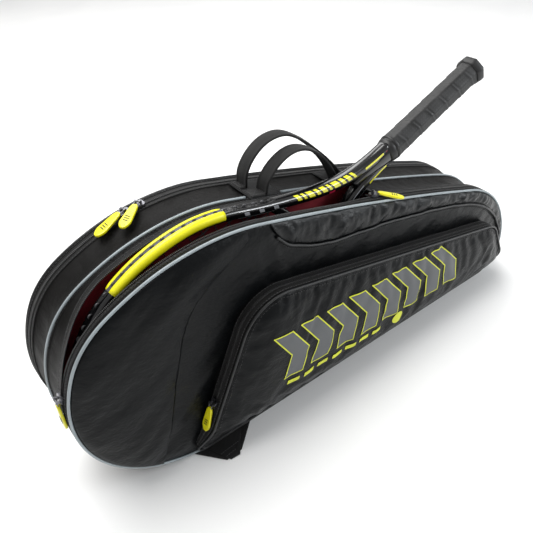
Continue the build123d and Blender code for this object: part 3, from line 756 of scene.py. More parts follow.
rows = []
for s in SS:
    end = 98.2 if RZ_S0 - 4 < s < RZ_S1 + 4 else 104.0
    row = []
    for v in np.linspace(0, 1, 16):
        y = 61.4 + (end - 61.4) * v
        dd = 0.5 - 3.0 * sin(pi * v) ** 0.8 + crease(s, y, 2.2, 46, 14.4) * sin(pi * v) + crease(s, y, 0.8, 15, 18.1) * sin(pi * v)
        dd -= 1.0 * pucker(s, 31.7) * exp(-(v * 36 / 5) ** 2)
        row.append(on(s, y, dd))
    rows.append(row)
c = loft("rear_gusset_cover", rows, GUSSET, closed_u=True, replaces=["rear_gusset"], slot="gusset_fabric")
thicken(c, 1.4)
rows = []
for s in SS:
    start = 110.2 if RZ_S0 - 4 < s < RZ_S1 + 4 else 104.0
    rows.append([on(s, start + (114.3 - start) * v, 0.9 + 0.6 * sin(pi * v)) for v in np.linspace(0, 1, 5)])
d_ = loft("rear_gusset_band", rows, GUSSET, closed_u=True, replaces=["rear_gusset"], slot="gusset_fabric")
thicken(d_, 1.2)


# -------------------------------------------------------------------- piping
def piping(name, y, s0, s1, r, node, closed=True, mat=PIPE, slot="reflective_piping", d0=0.6):
    pts = []
    for s in np.arange(s0, s1, 3.0):
        x, z, nx, nz = prof(s)
        d = d0 + 0.12 * n3(s / 30, y, 0)
        yy = y + 0.35 * n3(s / 45, y, 7)
        pts.append((x + nx * d, yy, max(z + nz * d, r + 0.05)))
    return tube(name, pts, r, mat, 12, closed=closed, replaces=[node], slot=slot)


piping("front_piping_cord", 1.6, 0, S_ALL, 1.6, "front_piping")
piping("rear_piping_cord", 114.3, 0, S_ALL, 1.9, "rear_piping", mat=PIPE_K, slot="black_piping")
sL, sR = s_x(256.0), s_x(303.0)
sL2, sR2 = s_x(383.0), s_x(413.0)
piping("middle_piping_cord_left", 60.3, sR2 - S_ALL, sL, 1.6, "middle_piping", closed=False)
piping("middle_piping_cord_centre", 60.3, sR, sL2, 1.6, "middle_piping", closed=False)
stitches("piping_stitches", [on_path(0, S_ALL * 0.999, 6.0, 1.9), on_path(0, S_ALL * 0.999, 57.0, 0.15), on_path(0, S_ALL * 0.999, 64.0, 0.2)], DARKTHREAD, pitch=4.0)

# --------------------------------------------------------------------- zips
ns = lambda s: (prof(s)[2], 0, prof(s)[3])


def band(name, s0, s1, ya, yb, d, mat, replaces, step=3.0, crown=0.25, slot="zip_tape", nv=5):
    rows = []
    for s in np.linspace(s0, s1, max(4, int((s1 - s0) / step))):
        a_ = ya(s) if callable(ya) else ya
        b_ = yb(s) if callable(yb) else yb
        rows.append([on(s, a_ + (b_ - a_) * v, (d(s, v) if callable(d) else d) + crown * sin(pi * v)) for v in np.linspace(0, 1, nv)])
    return thicken(loft(name, rows, mat, replaces=replaces, slot=slot), 0.7)


band("main_zip_front_tape_cloth", S_Z0, S_Z1, 7.8, 13.6, lambda s, v: 0.75 - droop(s) * (0.45 + 0.55 * v), TAPE, ["main_zip_front_tape"])
band("main_zip_rear_tape_left", S_Z0, S_M0 + 2, 15.9, 23.6, 0.75, TAPE, ["main_zip_rear_tape"])
band("main_zip_rear_tape_right", s_x(405.5), S_Z1, 15.9, 23.6, 0.75, TAPE, ["main_zip_rear_tape"])

# tape sewn along the rear edge of the mouth
edge = [(s, mouth_y(s)) for s in np.arange(S_M0 + 0.5, s_x(405.0), 2.5)]
for k in range(1, 15):
    an = k / 14 * pi / 2
    edge.append((s_x(405.0 + 14.4 * sin(an)), 24.0 + 27.0 * cos(an)))
edge = resample(np.array(edge), 2.5)
tan = np.gradient(edge, axis=0)
tan /= np.linalg.norm(tan, axis=1)[:, None]
nrm = np.stack([-tan[:, 1], tan[:, 0]], 1)
rows = []
for (s, y), (a_, b_) in zip(edge, nrm):
    row = []
    for k, w in enumerate(np.linspace(-0.4, 7.6, 6)):
        row.append(on(s + a_ * w, y + b_ * w, 2.75 - 0.16 * w))
    rows.append(row)
thicken(loft("main_zip_mouth_tape", rows, TAPE, replaces=["main_zip_rear_tape"], slot="zip_tape"), 0.8)
mouth_edge = [on(s, y, 2.6) for s, y in edge]
mouth_nrm = [ns(s) for s, y in edge]
mouth_side = []
for (s, y), (a_, b_) in zip(edge, nrm):
    p, q = np.array(on(s, y, 2.6)), np.array(on(s - a_ * 2, y - b_ * 2, 2.6))
    mouth_side.append(q - p)

back_dir, fore_dir = (0, 1, 0), (0, -1, 0)
cl = [np.linspace(S_Z0, S_M0, 160), np.linspace(s_x(405.0), S_Z1, 160)]
rows_of = [([on(s, 12.9, 1.0 - 0.93 * droop(s)) for s in np.linspace(S_Z0, S_Z1, 500)], [ns(s) for s in np.linspace(S_Z0, S_Z1, 500)], [back_dir] * 500, 2.6)]
for q in cl:
    rows_of.append(([on(s, 16.9, 1.15) for s in q], [ns(s) for s in q], [fore_dir] * len(q), 2.6))
rows_of.append((mouth_edge, mouth_nrm, mouth_side, 2.4))
teeth("main_zip_coil_teeth", rows_of, replaces=["main_zip_coil"])

band("rear_zip_tape_front", RZ_S0, RZ_S1, 96.8, 102.9, 0.8, TAPE, ["rear_zip_tapes"])
band("rear_zip_tape_back", RZ_S0, RZ_S1, 105.4, 111.2, 0.8, TAPE, ["rear_zip_tapes"])
q = np.linspace(RZ_S0, RZ_S1, 500)
teeth("rear_zip_coil_teeth", [([on(s, 102.2, 1.0) for s in q], [ns(s) for s in q], [back_dir] * 500, 2.7),
                              ([on(s, 106.1, 1.15) for s in q], [ns(s) for s in q], [fore_dir] * 500, 2.7)], replaces=["rear_zip_coil"])
stitches("zip_stitches", [on_path(S_Z0, S_Z1, 8.0, 1.75), on_path(s_x(424.0), S_Z1, 23.0, 1.2), on_path(S_Z0, S_M0, 23.0, 1.2),
                          on_path(RZ_S0, RZ_S1, 97.6, 1.3), on_path(RZ_S0, RZ_S1, 110.8, 1.6),
                          ([on(s + a_ * 6, y + b_ * 6, 2.2) for (s, y), (a_, b_) in zip(edge, nrm)], mouth_nrm)], THREAD)

# -------------------------------------------------------------------- lining
rows = []
for s in np.arange(0, S_ALL, 6.0):
    x, z, nx, nz = prof(s)
    row = []
    cx, cz = min(max(x, 190.0), 640.0), 128.0 - 0.16 * (min(max(x, 190.0), 640.0) - 190.0) + 10
    for v in np.linspace(0, 1, 14):
        px, pz = x - nx * 3.2, max(z - nz * 3.2, 3.0)
        qx, qz = px + (cx - px) * v, pz + (cz - pz) * v
        row.append((qx, 57.2 + 1.3 * n3(qx / 50, 3, qz / 40) * sin(pi * min(v + 0.15, 1)), qz))
    rows.append(row)
lin = loft("divider_lining_cloth", rows, RED, closed_u=True, replaces=["divider_lining", "mid_divider"], slot="red_lining", flip=True)
thicken(lin, 1.0)
# lining turned down inside the mouth's rear edge
rows = []
for (s, y), (a_, b_) in zip(edge, nrm):
    rows.append([on(s + a_ * (0.6 + 1.6 * k), y + b_ * (0.6 + 1.6 * k), 1.9 - 0.9 * k) for k in range(5)])
fac = thicken(loft("mouth_lining_facing", rows, RED, slot="red_lining", flip=True), 0.6)
# inner lining of the front wall and the two side walls, seen through the mouth
M = Many()
rows = []
for s in np.arange(0, S_ALL, 6.0):
    rows.append([on(s, y, -3.4 - 0.4 * n3(s / 30, y / 9, 2)) if not (S_M0 < s < S_CORNER and y > 12) else on(s, min(y, 12.0), -3.4) for y in np.linspace(4.5, 12.0, 4)])
M.add(rows, closed_u=True)
fl = thicken(M.make("front_inner_lining", RED, slot="red_lining"), 0.5)

# -------------------------------------------------------------------- pocket
POCKET = [(115.0, 8.0), (204.0, 226.0), (655.0, 127.0), (707.0, 40.0), (690.0, 8.0)]
POCKET_R = [14.0, 55.0, 42.0, 26.0, 12.0]
PZ = -13.5


def depth_k(z):
    """The pocket is deep at its top and flattens toward the bag's bottom edge."""
    return 0.16 + 0.84 * smooth((np.asarray(z, float) - 2.0) / 66.0)



def pocket_ring(grow, step=3.0):
    O = round_poly(POCKET, POCKET_R, grow, step)
    t = np.roll(O, -1, 0) - np.roll(O, 1, 0)
    t /= np.linalg.norm(t, axis=1)[:, None]
    return O, np.stack([-t[:, 1], t[:, 0]], 1)


RING, RNRM = pocket_ring(0.0, 3.0)
start = int(np.argmin((RING[:, 0] - 400) ** 2 + (RING[:, 1] - 8) ** 2))
RING, RNRM = np.roll(RING, -start, 0), np.roll(RNRM, -start, 0)
base_y = front_y(RING[:, 0], RING[:, 1]) + 1.5
KZ = depth_k(RING[:, 1])
rows = []
for i, (p, n_) in enumerate(zip(RING, RNRM)):
    low = float(smooth((34 - p[1]) / 22))            # plain wall along the bottom
    row = []
    for v in np.linspace(0, 1, 13):
        y = base_y[i] + (min(-24.6 * KZ[i], base_y[i] - 2.0) - base_y[i]) * v
        g = 0.3 + 0.9 * sin(pi * v) * low + 0.5 * n3(i * 0.22, v * 2, 4) * sin(pi * v) - 0.9 * exp(-((y - PZ * KZ[i]) / (7 * KZ[i])) ** 2) * (1 - low)
        row.append((p[0] + n_[0] * g, y, max(p[1] + n_[1] * g, 0.7)))
    rows.append(row)
wall = loft("pocket_wall_cover", rows, GUSSET, closed_u=True, replaces=["pocket_gusset"], slot="gusset_fabric", flip=True)
thicken(wall, 1.2)

O, _ = pocket_ring(-1.0, 5.5)
P, F = cdt_region(O, 5.6)


def ring_dist(x, z, O):
    p = np.stack([np.ravel(x), np.ravel(z)], 1)
    out = np.empty(len(p))
    for k in range(0, len(p), 2000):
        q = p[k:k + 2000]
        out[k:k + 2000] = np.sqrt(((q[:, None, :] - O[None]) ** 2).sum(2)).min(1)
    return out.reshape(np.shape(x))


O_fine, _ = pocket_ring(-1.0, 2.0)
dd = ring_dist(P[:, 0], P[:, 1], O_fine)
crown = np.minimum(-24.8 * depth_k(P[:, 1]), front_y(P[:, 0], P[:, 1]) - 1.2) - 8.0 * (1 - np.exp(-dd / 26.0))
pin = dd < 1.5
me = bpy.data.meshes.new("sim")
me.from_pydata([tuple(p) for p in to_row(np.stack([P[:, 0], crown, P[:, 1]], 1))], [], [tuple(f) for f in F])
sim = bpy.data.objects.new("sim", me)
bpy.context.scene.collection.objects.link(sim)
vg = sim.vertex_groups.new(name="pin")
vg.add([int(i) for i in np.nonzero(pin)[0]], 1.0, "REPLACE")
cl_ = sim.modifiers.new("cloth", "CLOTH")
st = cl_.settings
st.quality = 7
st.mass = 0.15
st.tension_stiffness = st.compression_stiffness = 25
st.shear_stiffness = 12
st.bending_stiffness = 0.35
st.tension_damping = st.compression_damping = 12
st.air_damping = 3
st.effector_weights.gravity = 0.0
st.vertex_group_mass = "pin"
st.pin_stiffness = 1.0
st.use_pressure = True
st.uniform_pressure_force = 2.2
st.shrink_min = -0.018
cl_.collision_settings.use_collision = False
cl_.collision_settings.use_self_collision = False
sc = bpy.context.scene
sc.frame_start, sc.frame_end = 1, 22
cl_.point_cache.frame_start, cl_.point_cache.frame_end = 1, 22
for f in range(1, 23):
    sc.frame_set(f)
dg = bpy.context.evaluated_depsgraph_get()
ev = sim.evaluated_get(dg)
co = np.array([tuple(v.co) for v in ev.data.vertices]) * 1000 + np.array([X0, Y0, 0])
rest = np.stack([P[:, 0], crown, P[:, 1]], 1)
mv = co - rest
ln = np.linalg.norm(mv, axis=1)
print("pocket cloth moved up to", round(float(ln.max()), 2), "mm, mean", round(float(ln.mean()), 2))
cap = 7.0
mv *= (np.minimum(ln, cap) / np.maximum(ln, 1e-6))[:, None]
pv = rest + mv
pv[:, 1] = np.clip(pv[:, 1], -40.0, -2.0)
bpy.data.objects.remove(sim)
bpy.data.meshes.remove(me)
sc.frame_set(1)
pv[:, 2] = np.maximum(pv[:, 2], 3.0)
# tucks along the sewn edge
for i in range(len(pv)):
    if 1.5 < dd[i] < 24:
        pv[i, 1] += 1.5 * exp(-((dd[i] - 5.5) / 5) ** 2) * (0.5 + abs(n3(pv[i, 0] / 9.0, 4.0, pv[i, 2] / 9.0)) * 2.4) - 0.4
pface = make("pocket_front_cover", pv, F, COAT, uvs=lambda c: (c.x, c.z), replaces=["pocket_front"], slot="coated_fabric")
pface.data.update()
tri = BVHTree.FromPolygons([Vector(p) for p in pv], [tuple(f) for f in F])
subdivide(pface)
thicken(pface, 1.8, -1)

# seam piping between the pocket's wall and its front
O2, N2 = pocket_ring(0.6, 3.0)
tube("pocket_piping_cord", [(x, min(-24.9 * float(depth_k(z)), float(front_y(x, max(z, 1.0))) - 1.0), max(z, 1.8)) for x, z in O2], 1.55, PIPE_K, 10, closed=True, replaces=["pocket_piping"], slot="black_piping")


def side_range(z_min):
    """Indices of the pocket ring on the left, top and right sides."""
    ok = RING[:, 1] > z_min
    idx = [i for i in range(len(RING)) if ok[i]]
    return idx


idx = side_range(25.0)


def pocket_band(name, ya, yb, g0, mat, replaces, slot):
    rows = []
    for i in idx:
        p, n_ = RING[i], RNRM[i]
        rows.append([(p[0] + n_[0] * (g0 + 0.25 * sin(pi * v)), (ya + (yb - ya) * v) * KZ[i], p[1] + n_[1] * (g0 + 0.25 * sin(pi * v))) for v in np.linspace(0, 1, 5)])
    return thicken(loft(name, rows, mat, replaces=replaces, slot=slot, flip=True), 0.7)


pocket_band("pocket_zip_tape_back", -5.6, -12.2, 0.9, TAPE, ["pocket_zip_tapes"], "zip_tape")
pocket_band("pocket_zip_tape_front", -14.8, -21.4, 0.9, TAPE, ["pocket_zip_tapes"], "zip_tape")
pp = [(RING[i][0] + RNRM[i][0] * 1.0, -11.5 * KZ[i], RING[i][1] + RNRM[i][1] * 1.0) for i in idx]
pq = [(RING[i][0] + RNRM[i][0] * 1.1, -15.5 * KZ[i], RING[i][1] + RNRM[i][1] * 1.1) for i in idx]
pn = [(RNRM[i][0], 0, RNRM[i][1]) for i in idx]
teeth("pocket_zip_coil_teeth", [(pp, pn, [fore_dir] * len(idx), 2.7), (pq, pn, [back_dir] * len(idx), 2.7)], replaces=["pocket_zip_coil"])
st_paths = []
for yy in (-6.3, -20.7):
    st_paths.append(([(RING[i][0] + RNRM[i][0] * 1.2, yy * KZ[i], RING[i][1] + RNRM[i][1] * 1.2) for i in idx], pn))
stitches("pocket_zip_stitches", st_paths, THREAD)


def cast(x, z, lift=0.0):
    hit = tri.ray_cast(Vector((x, -80.0, z)), Vector((0, 1, 0)))
    if hit[0] is None:
        near = tri.find_nearest(Vector((x, -30.0, z)))
        return np.array(near[0]) - np.array([0, lift, 0])
    return np.array(hit[0]) - np.array([0, lift, 0])


O3, _ = pocket_ring(-5.0, 3.5)
stitches("pocket_edge_stitches", [([tuple(cast(x, z, 0.35)) for x, z in O3 if z > 14], [(0, -1, 0)] * sum(1 for x, z in O3 if z > 14))], DARKTHREAD, pitch=4.2)

# ---------------------------------------------------- front yoke and side panel
YOKE = [(249, 277), (264, 262), (286, 251), (305, 244), (326, 238.5), (367, 231), (433, 220),
        (484, 210), (542, 196), (588, 183), (636, 163), (670, 139), (700, 108), (724, 62), (728, 40)]
yk = catmull(YOKE, 3.0)
yk = resample(yk, 3.0)
sa, sb = s_x(243.0), s_th(-4.0)
rows = []
nk = len(yk)
for i, c_ in enumerate(yk):
    s = sa + (sb - sa) * (i / (nk - 1)) ** 0.97
    x, z, nx, nz = prof(s)
    L_ = np.array([x - nx * 1.2, z - nz * 1.2])
    row = []
    for v in np.linspace(0, 1, 15):
        p = c_ + (L_ - c_) * v
        row.append((p[0], 0.0, p[1]))
    rows.append(row)
R_ = np.array(rows, float)
fy = front_y(R_[:, :, 0], R_[:, :, 2])
for i in range(nk):
    wide = np.linalg.norm(R_[i, -1, [0, 2]] - R_[i, 0, [0, 2]])
    u = i * 3.0
    for j in range(15):
        v = j / 14
        e = sin(pi * v)
        g = n3(u / 11.0, 0.4, v * 1.3) + 0.6 * n3(u / 5.5, 7.7, v * 1.2)
        puff = min(3.2, wide * 0.12)
        R_[i, j, 1] = fy[i, j] - 0.9 - puff * e ** 0.7 - (2.5 * g) * e ** 0.5 * min(1, wide / 22) - 0.5 * g * (1 - e)
        if v > 0.98:
            R_[i, j, 1] = min(fy[i, j] - 0.6, 2.0)
# the yoke uses the lighter copy of the coated fabric, whose lighter base colour is a painted sheen
yoke = subdivide(loft("yoke_cover", R_, COAT_YOKE_SHEEN, replaces=["upper_yoke"], slot="coated_fabric"))
thicken(yoke, 1.4)
ylow = yk + np.array([0, -2.7])
yy = front_y(ylow[:, 0], ylow[:, 1])
tube("yoke_piping_cord", [(p[0], y_ - 1.7, p[1]) for p, y_ in zip(ylow, yy)], 1.7, PIPE_K, 10, replaces=["yoke_piping"], slot="black_piping")
off = yk + np.array([0.0, -7.2])
oy = front_y(off[:, 0], off[:, 1])
stitches("yoke_stitches", [([(p[0], y_ - 0.4, p[1]) for p, y_ in zip(off, oy)], [(0, -1, 0)] * nk)], DARKTHREAD)

SEAM = [(77, 24), (100, 110), (117, 180), (127, 213), (140, 239), (162, 257), (192, 275), (214, 288)]
sm = resample(catmull(SEAM, 3.0), 3.2)
sa, sb = s_th(240.0), s_x(212.0)
rows = []
nk = len(sm)
for i, c_ in enumerate(sm):
    s = sa + (sb - sa) * (i / (nk - 1))
    x, z, nx, nz = prof(s)
    L_ = np.array([x - nx * 1.4, max(z - nz * 1.4, 3.0)])
    rows.append([(c_[0] + (L_[0] - c_[0]) * v, 0.0, c_[1] + (L_[1] - c_[1]) * v) for v in np.linspace(0, 1, 24)])
R_ = np.array(rows, float)
fy = front_y(R_[:, :, 0], R_[:, :, 2])
for i in range(nk):
    for j in range(24):
        v = j / 23
        wide = np.linalg.norm(R_[i, -1, [0, 2]] - R_[i, 0, [0, 2]])
        puff = min(3.0, 0.05 * wide) * sin(pi * v) ** 0.8
        near = exp(-(v * wide / 7.0) ** 2)
        R_[i, j, 1] = fy[i, j] - 0.7 - 0.8 * (1 - near) - puff + 0.7 * near * n3(i * 0.45, 5, 5)
        if v > 0.98:
            R_[i, j, 1] = min(fy[i, j] - 0.5, 2.0)
side = subdivide(loft("side_panel_cover", R_, COAT, replaces=["front_side_panel"], slot="coated_fabric", flip=True))
thicken(side, 1.3)
off = sm + np.array([-4.0, 1.0])
oy = front_y(off[:, 0], off[:, 1])
stitches("side_seam_stitches", [([(p[0], y_ - 1.7, p[1]) for p, y_ in zip(off, oy)], [(0, -1, 0)] * nk)], DARKTHREAD)

# --------------------------------------------------------------- printed art
PX = np.array([1.0, -0.225])


def art(u, v):
    """Print coordinates on the pocket front: u along, v up (0..1)."""
    a_, b_ = np.array([226.0, 98.0]), np.array([576.0, 82.0])
    c_, d_ = np.array([213.0, 176.0]), np.array([541.0, 147.0])
    lo, hi = a_ + (b_ - a_) * u, c_ + (d_ - c_) * u
    return lo + (hi - lo) * v


def print_patch(M, quad, lift=0.45, step=4.0):
    """Quad given by four (u, v) corners, laid on the fabric."""
    q = [art(*c) for c in quad]
    nu = max(2, int(np.linalg.norm(q[1] - q[0]) / step))
    nv = max(2, int(np.linalg.norm(q[3] - q[0]) / step))
    rows = []
    for i in range(nu + 1):
        a_ = q[0] + (q[1] - q[0]) * i / nu
        b_ = q[3] + (q[2] - q[3]) * i / nu
        rows.append([tuple(cast(*(a_ + (b_ - a_) * j / nv), lift)) for j in range(nv + 1)])
    M.add(rows)


def outline(M, poly, width=1.5, lift=0.6):
    q = [art(*c) for c in poly]
    n = len(q)
    for i in range(n):
        a_, b_ = q[i], q[(i + 1) % n]
        k = max(2, int(np.linalg.norm(b_ - a_) / 4))
        t_ = (b_ - a_) / np.linalg.norm(b_ - a_)
        w_ = np.array([-t_[1], t_[0]]) * width / 2
        rows = []
        for j in range(k + 1):
            p = a_ - t_ * width / 2 + (b_ - a_ + t_ * width) * j / k
            rows.append([tuple(cast(*(p + w_), lift)), tuple(cast(*(p - w_), lift))])
        M.add(rows)


G, Y = Many(), Many()
for k in range(8):
    u0, w_, t_, hi = 0.01 + k * 0.122, 0.078, 0.050, 0.93 + 0.010 * k
    print_patch(G, [(u0, 0.0), (u0 + w_, 0.0), (u0 + w_ + t_, 0.5 * hi), (u0 + t_, 0.5 * hi)])
    print_patch(G, [(u0 + t_, 0.5 * hi), (u0 + w_ + t_, 0.5 * hi), (u0 + w_, hi), (u0, hi)])
    outline(Y, [(u0, 0.0), (u0 + w_, 0.0), (u0 + w_ + t_, 0.5 * hi), (u0 + w_, hi), (u0, hi), (u0 + t_, 0.5 * hi)])
G.make("pocket_print_bars", PRINT_G, slot="coated_fabric")
for k in range(7):
    u0 = 0.02 + k * 0.068
    print_patch(Y, [(u0, -0.22), (u0 + 0.047, -0.22), (u0 + 0.054, -0.13), (u0 + 0.007, -0.13)], 0.6)
disc = []
for k in range(3):
    disc.append([tuple(cast(*(art(0.575, -0.16) + np.array([cos(t), sin(t)]) * r_), 0.6)) for t in np.linspace(0, 2 * pi, 24, endpoint=False) for r_ in [[0.2, 5.0, 10.0][k]]])
Y.add(disc, closed_v=True)
Y.make("pocket_print_lines", PRINT_Y, slot="yellow_pull")


# ------------------------------------------------------------------- handles
def foot(x, lift):
    s = s_x(x)
    a_ = prof(s)
    return (a_[0] + a_[2] * lift, a_[1] + a_[3] * lift)


FH = [foot(279, 3.0), (282, 300), (294, 315), (312, 325.5), (331, 327), (350, 319), (368, 303), (382, 283), foot(393, 3.0)]
RH = [foot(268, 3.0), (270, 306), (281, 324), (301, 337), (326, 338), (350, 325), (374, 305), (398, 281), foot(420, 3.0)]


def webbing_rows(path, y0, y1, t, narrow=0.0, curl=0.0, closed_path=False):
    """Rings of a flat webbing band along an x-z path."""
    P = np.asarray(path, float)
    T = np.gradient(P, axis=0)
    T /= np.linalg.norm(T, axis=1)[:, None]
    N = np.stack([-T[:, 1], T[:, 0]], 1)
    rows, n = [], len(P)
    for i in range(n):
        k = sin(pi * i / (n - 1))
        yc, hw = (y0 + y1) / 2, (y1 - y0) / 2 * (1 - narrow * k)
        ring = []
        sec = [(-1, -0.5), (-0.97, -0.9), (-0.8, -0.86), (-0.74, -0.7), (-0.4, -0.78), (0, -0.8), (0.4, -0.78), (0.74, -0.7), (0.8, -0.86), (0.97, -0.9), (1, -0.5),
               (1, 0.5), (0.97, 0.9), (0.8, 0.86), (0.74, 0.7), (0.4, 0.78), (0, 0.8), (-0.4, 0.78), (-0.74, 0.7), (-0.8, 0.86), (-0.97, 0.9), (-1, 0.5)]
        for a_, b_ in sec:
            off_ = b_ * t / 2 - curl * k * a_ * a_
            ring.append((P[i][0] + N[i][0] * off_, yc + a_ * hw + 0.25 * n3(i * 0.2, y0, 1), P[i][1] + N[i][1] * off_))
        rows.append(ring)
    return rows


def handle(name, pts, y0, y1, node, lean):
    path = resample(catmull([np.array(p, float) for p in pts], 2.0), 2.5)
    o = loft(name, webbing_rows(path, y0, y1, 2.6, 0.1, 1.6), WEB, closed_v=True, cap0=True, cap1=True, body=None, replaces=[node], slot="webbing")
    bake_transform(o)
    m = []
    for yy in (y0 + 1.9, y1 - 1.9):
        m.append(yy)
    return o, path


hf, pf = handle("front_handle_webbing", FH, 54.5, 74.0, "front_handle", 1)
hr, prr = handle("rear_handle_webbing", RH, 77.5, 97.0, "rear_handle", 1)


def patch(name, x0, x1, y0, y1, d, node, mat=WEB, thick=1.2):
    rows = []
    for k, s in enumerate(np.linspace(s_x(x0), s_x(x1), 15)):
        a_ = abs(k - 7) / 7
        row = []
        for v in np.linspace(-1, 1, 15):
            e = max(abs(v), a_)
            row.append(on(s, (y0 + y1) / 2 + (y1 - y0) / 2 * v, d - (0.9 if e > 0.99 else 0.0) + 0.15 * n3(s / 8, v * 3, d)))
        rows.append(row)
    return thicken(subdivide(loft(name, rows, mat, replaces=[node] if node else (), slot="webbing")), thick)


patch("handle_patch_left_cover", 257.0, 302.0, 53.5, 97.5, 2.0, "handle_patch_left", BACKF)
patch("handle_patch_right_cover", 384.0, 413.5, 53.5, 97.5, 2.0, "handle_patch_right", BACKF)
patch("handle_patch_right_wing", 411.0, 437.0, 76.5, 97.5, 2.0, "handle_patch_right", BACKF)
boxes = []
for nm, xa, xb, ya, yb in (("front_handle_tab_left", 259, 281, 54.8, 73.7), ("rear_handle_tab_left", 259, 270, 77.8, 96.7),
                           ("front_handle_tab_right", 391, 411, 54.8, 73.7), ("rear_handle_tab_right", 417, 435, 77.8, 96.7)):
    patch(nm, xa, xb, ya, yb, 3.3, None, WEB, 1.6)
    s0_, s1_ = s_x(xa + 2.0), s_x(xb - 3.0)
    for (sa_, ya_), (sb_, yb_) in (((s0_, ya + 2), (s1_, ya + 2)), ((s1_, ya + 2), (s1_, yb - 2)), ((s1_, yb - 2), (s0_, yb - 2)), ((s0_, yb - 2), (s0_, ya + 2)),
                                   ((s0_, ya + 2), (s1_, yb - 2)), ((s0_, yb - 2), (s1_, ya + 2))):
        boxes.append(([on(sa_ + (sb_ - sa_) * t, ya_ + (yb_ - ya_) * t, 3.35) for t in np.linspace(0, 1, 6)], [ns(sa_ + (sb_ - sa_) * t) for t in np.linspace(0, 1, 6)]))
for xa, xb, ya, yb in ((257, 302, 53.5, 97.5), (384, 413.5, 53.5, 97.5)):
    s0_, s1_ = s_x(xa + 1.8), s_x(xb - 1.8)
    for (sa_, ya_), (sb_, yb_) in (((s0_, ya + 1.8), (s1_, ya + 1.8)), ((s1_, ya + 1.8), (s1_, yb - 1.8)), ((s1_, yb - 1.8), (s0_, yb - 1.8)), ((s0_, yb - 1.8), (s0_, ya + 1.8))):
        boxes.append(([on(sa_ + (sb_ - sa_) * t, ya_ + (yb_ - ya_) * t, 2.05) for t in np.linspace(0, 1, 12)], [ns(sa_ + (sb_ - sa_) * t) for t in np.linspace(0, 1, 12)]))
stitches("handle_box_stitches", boxes, THREAD, pitch=3.0, length=2.1)

# -------------------------------------------------------------------- racket
RB, RD, RN = np.array([614.0, 44.0, 357.0]), np.array([-0.92153, -0.02672, -0.38738]), np.array([-0.02464, 0.99964, -0.01036])
RD, RN = RD / np.linalg.norm(RD), RN / np.linalg.norm(RN)
RV = np.cross(RD, RN)


def rp(u, v, w):
    return RB + RD * u + RV * v + RN * w


HALF = [(172, 8.0), (200, 9.0), (225, 12.5), (250, 19.4), (287, 35.8), (321, 55.5), (363, 82.5), (400, 108.0),
        (432, 123.2), (467, 131.0), (498, 132.3), (531, 127.5), (556, 119.5), (580, 107.0), (602, 88.5), (619, 64.0), (630, 34.0), (634, 0.0)]
full = HALF + [(u, -v) for u, v in reversed(HALF[:-1])]
cl = resample(catmull([np.array(p, float) for p in full], 3.0), 4.0)
tt = np.gradient(cl, axis=0)
tt /= np.linalg.norm(tt, axis=1)[:, None]
on_ = np.stack([-tt[:, 1], tt[:, 0]], 1)       # outward in the racket plane


def section(k, a_, b_, e=2.7):
    """Superellipse point: k angle from the outward direction."""
    c_, s_ = cos(k), sin(k)
    return a_ * abs(c_) ** (2 / e) * (1 if c_ >= 0 else -1), b_ * abs(s_) ** (2 / e) * (1 if s_ >= 0 else -1)


def frame_point(i, ang, grow=0.0):
    """Point on the frame tube: i index on the centre line, ang from outward."""
    i0 = int(min(max(i, 0), len(cl) - 1))
    f_ = min(max(i, 0), len(cl) - 1) - i0
    i1 = min(i0 + 1, len(cl) - 1)
    c_, n_ = cl[i0] * (1 - f_) + cl[i1] * f_, on_[i0] * (1 - f_) + on_[i1] * f_
    u = c_[0]
    a_ = 7.6 - 1.5 * float(smooth((u - 240) / 120))
    b_ = 8.6 - 0.9 * float(smooth((u - 240) / 120))
    x, w = section(ang, a_ + grow, b_ + grow)
    if u > 345 and grow == 0.0:
        x -= 1.7 * exp(-(sin(ang) / 0.22) ** 2) * (1 if cos(ang) > 0 else 0)
    q = c_ + n_ * x
    return rp(q[0], q[1], w)


NA = 28
rows = [[frame_point(i, 2 * pi * k / NA) for k in range(NA)] for i in range(len(cl))]
fr = Many()
fr.add(rows, closed_v=True, cap0=True, cap1=True)
br = resample(catmull([np.array(p, float) for p in ((344, -68), (333, -40), (325.5, -18), (323.5, 0), (325.5, 18), (333, 40), (344, 68))], 3), 4.0)
tb = np.gradient(br, axis=0)
tb /= np.linalg.norm(tb, axis=1)[:, None]
rows = []
for p, t_ in zip(br, tb):
    n_ = np.array([-t_[1], t_[0]])
    ring = []
    for k in range(20):
        x, w = section(2 * pi * k / 20, 6.2, 8.0)
        q = p + n_ * x
        ring.append(rp(q[0], q[1], w))
    rows.append(ring)
fr.add(rows, closed_v=True, cap0=True, cap1=True)
rows = []                                       # shaft fairing between the two legs
for u in np.linspace(166, 236, 18):
    hv = np.interp(u, [166, 172, 200, 236], [14.5, 14.0, 9.5, 5.0])
    hw = np.interp(u, [166, 200, 236], [12.5, 9.2, 6.5])
    rows.append([rp(u, *section(2 * pi * k / 24, hv, hw, 2.6)) for k in range(24)])
fr.add(rows, closed_v=True, cap0=True, cap1=True)
fr.make("racket_frame_tube", PAINT, body="racket", replaces=["racket_frame"], slot="racket_paint")


def idx_of_u(u, upper=True):
    """Centre-line index at distance u, on the upper or lower half."""
    half = len(cl) // 2
    rng = range(half, len(cl)) if upper else range(0, half)
    return min(rng, key=lambda i: abs(cl[i][0] - u))


def decal(M, i0, i1, a0, a1, slant=0.0, grow=0.18, na=6):
    """Patch on the frame between two indices and two section angles."""
    ni = max(2, int(abs(i1 - i0) * 1.5))
    rows = []
    for k in range(ni + 1):
        i = i0 + (i1 - i0) * k / ni
        rows.append([frame_point(i + slant * (j / na - 0.5), a0 + (a1 - a0) * j / na, grow) for j in range(na + 1)])
    M.add(rows)


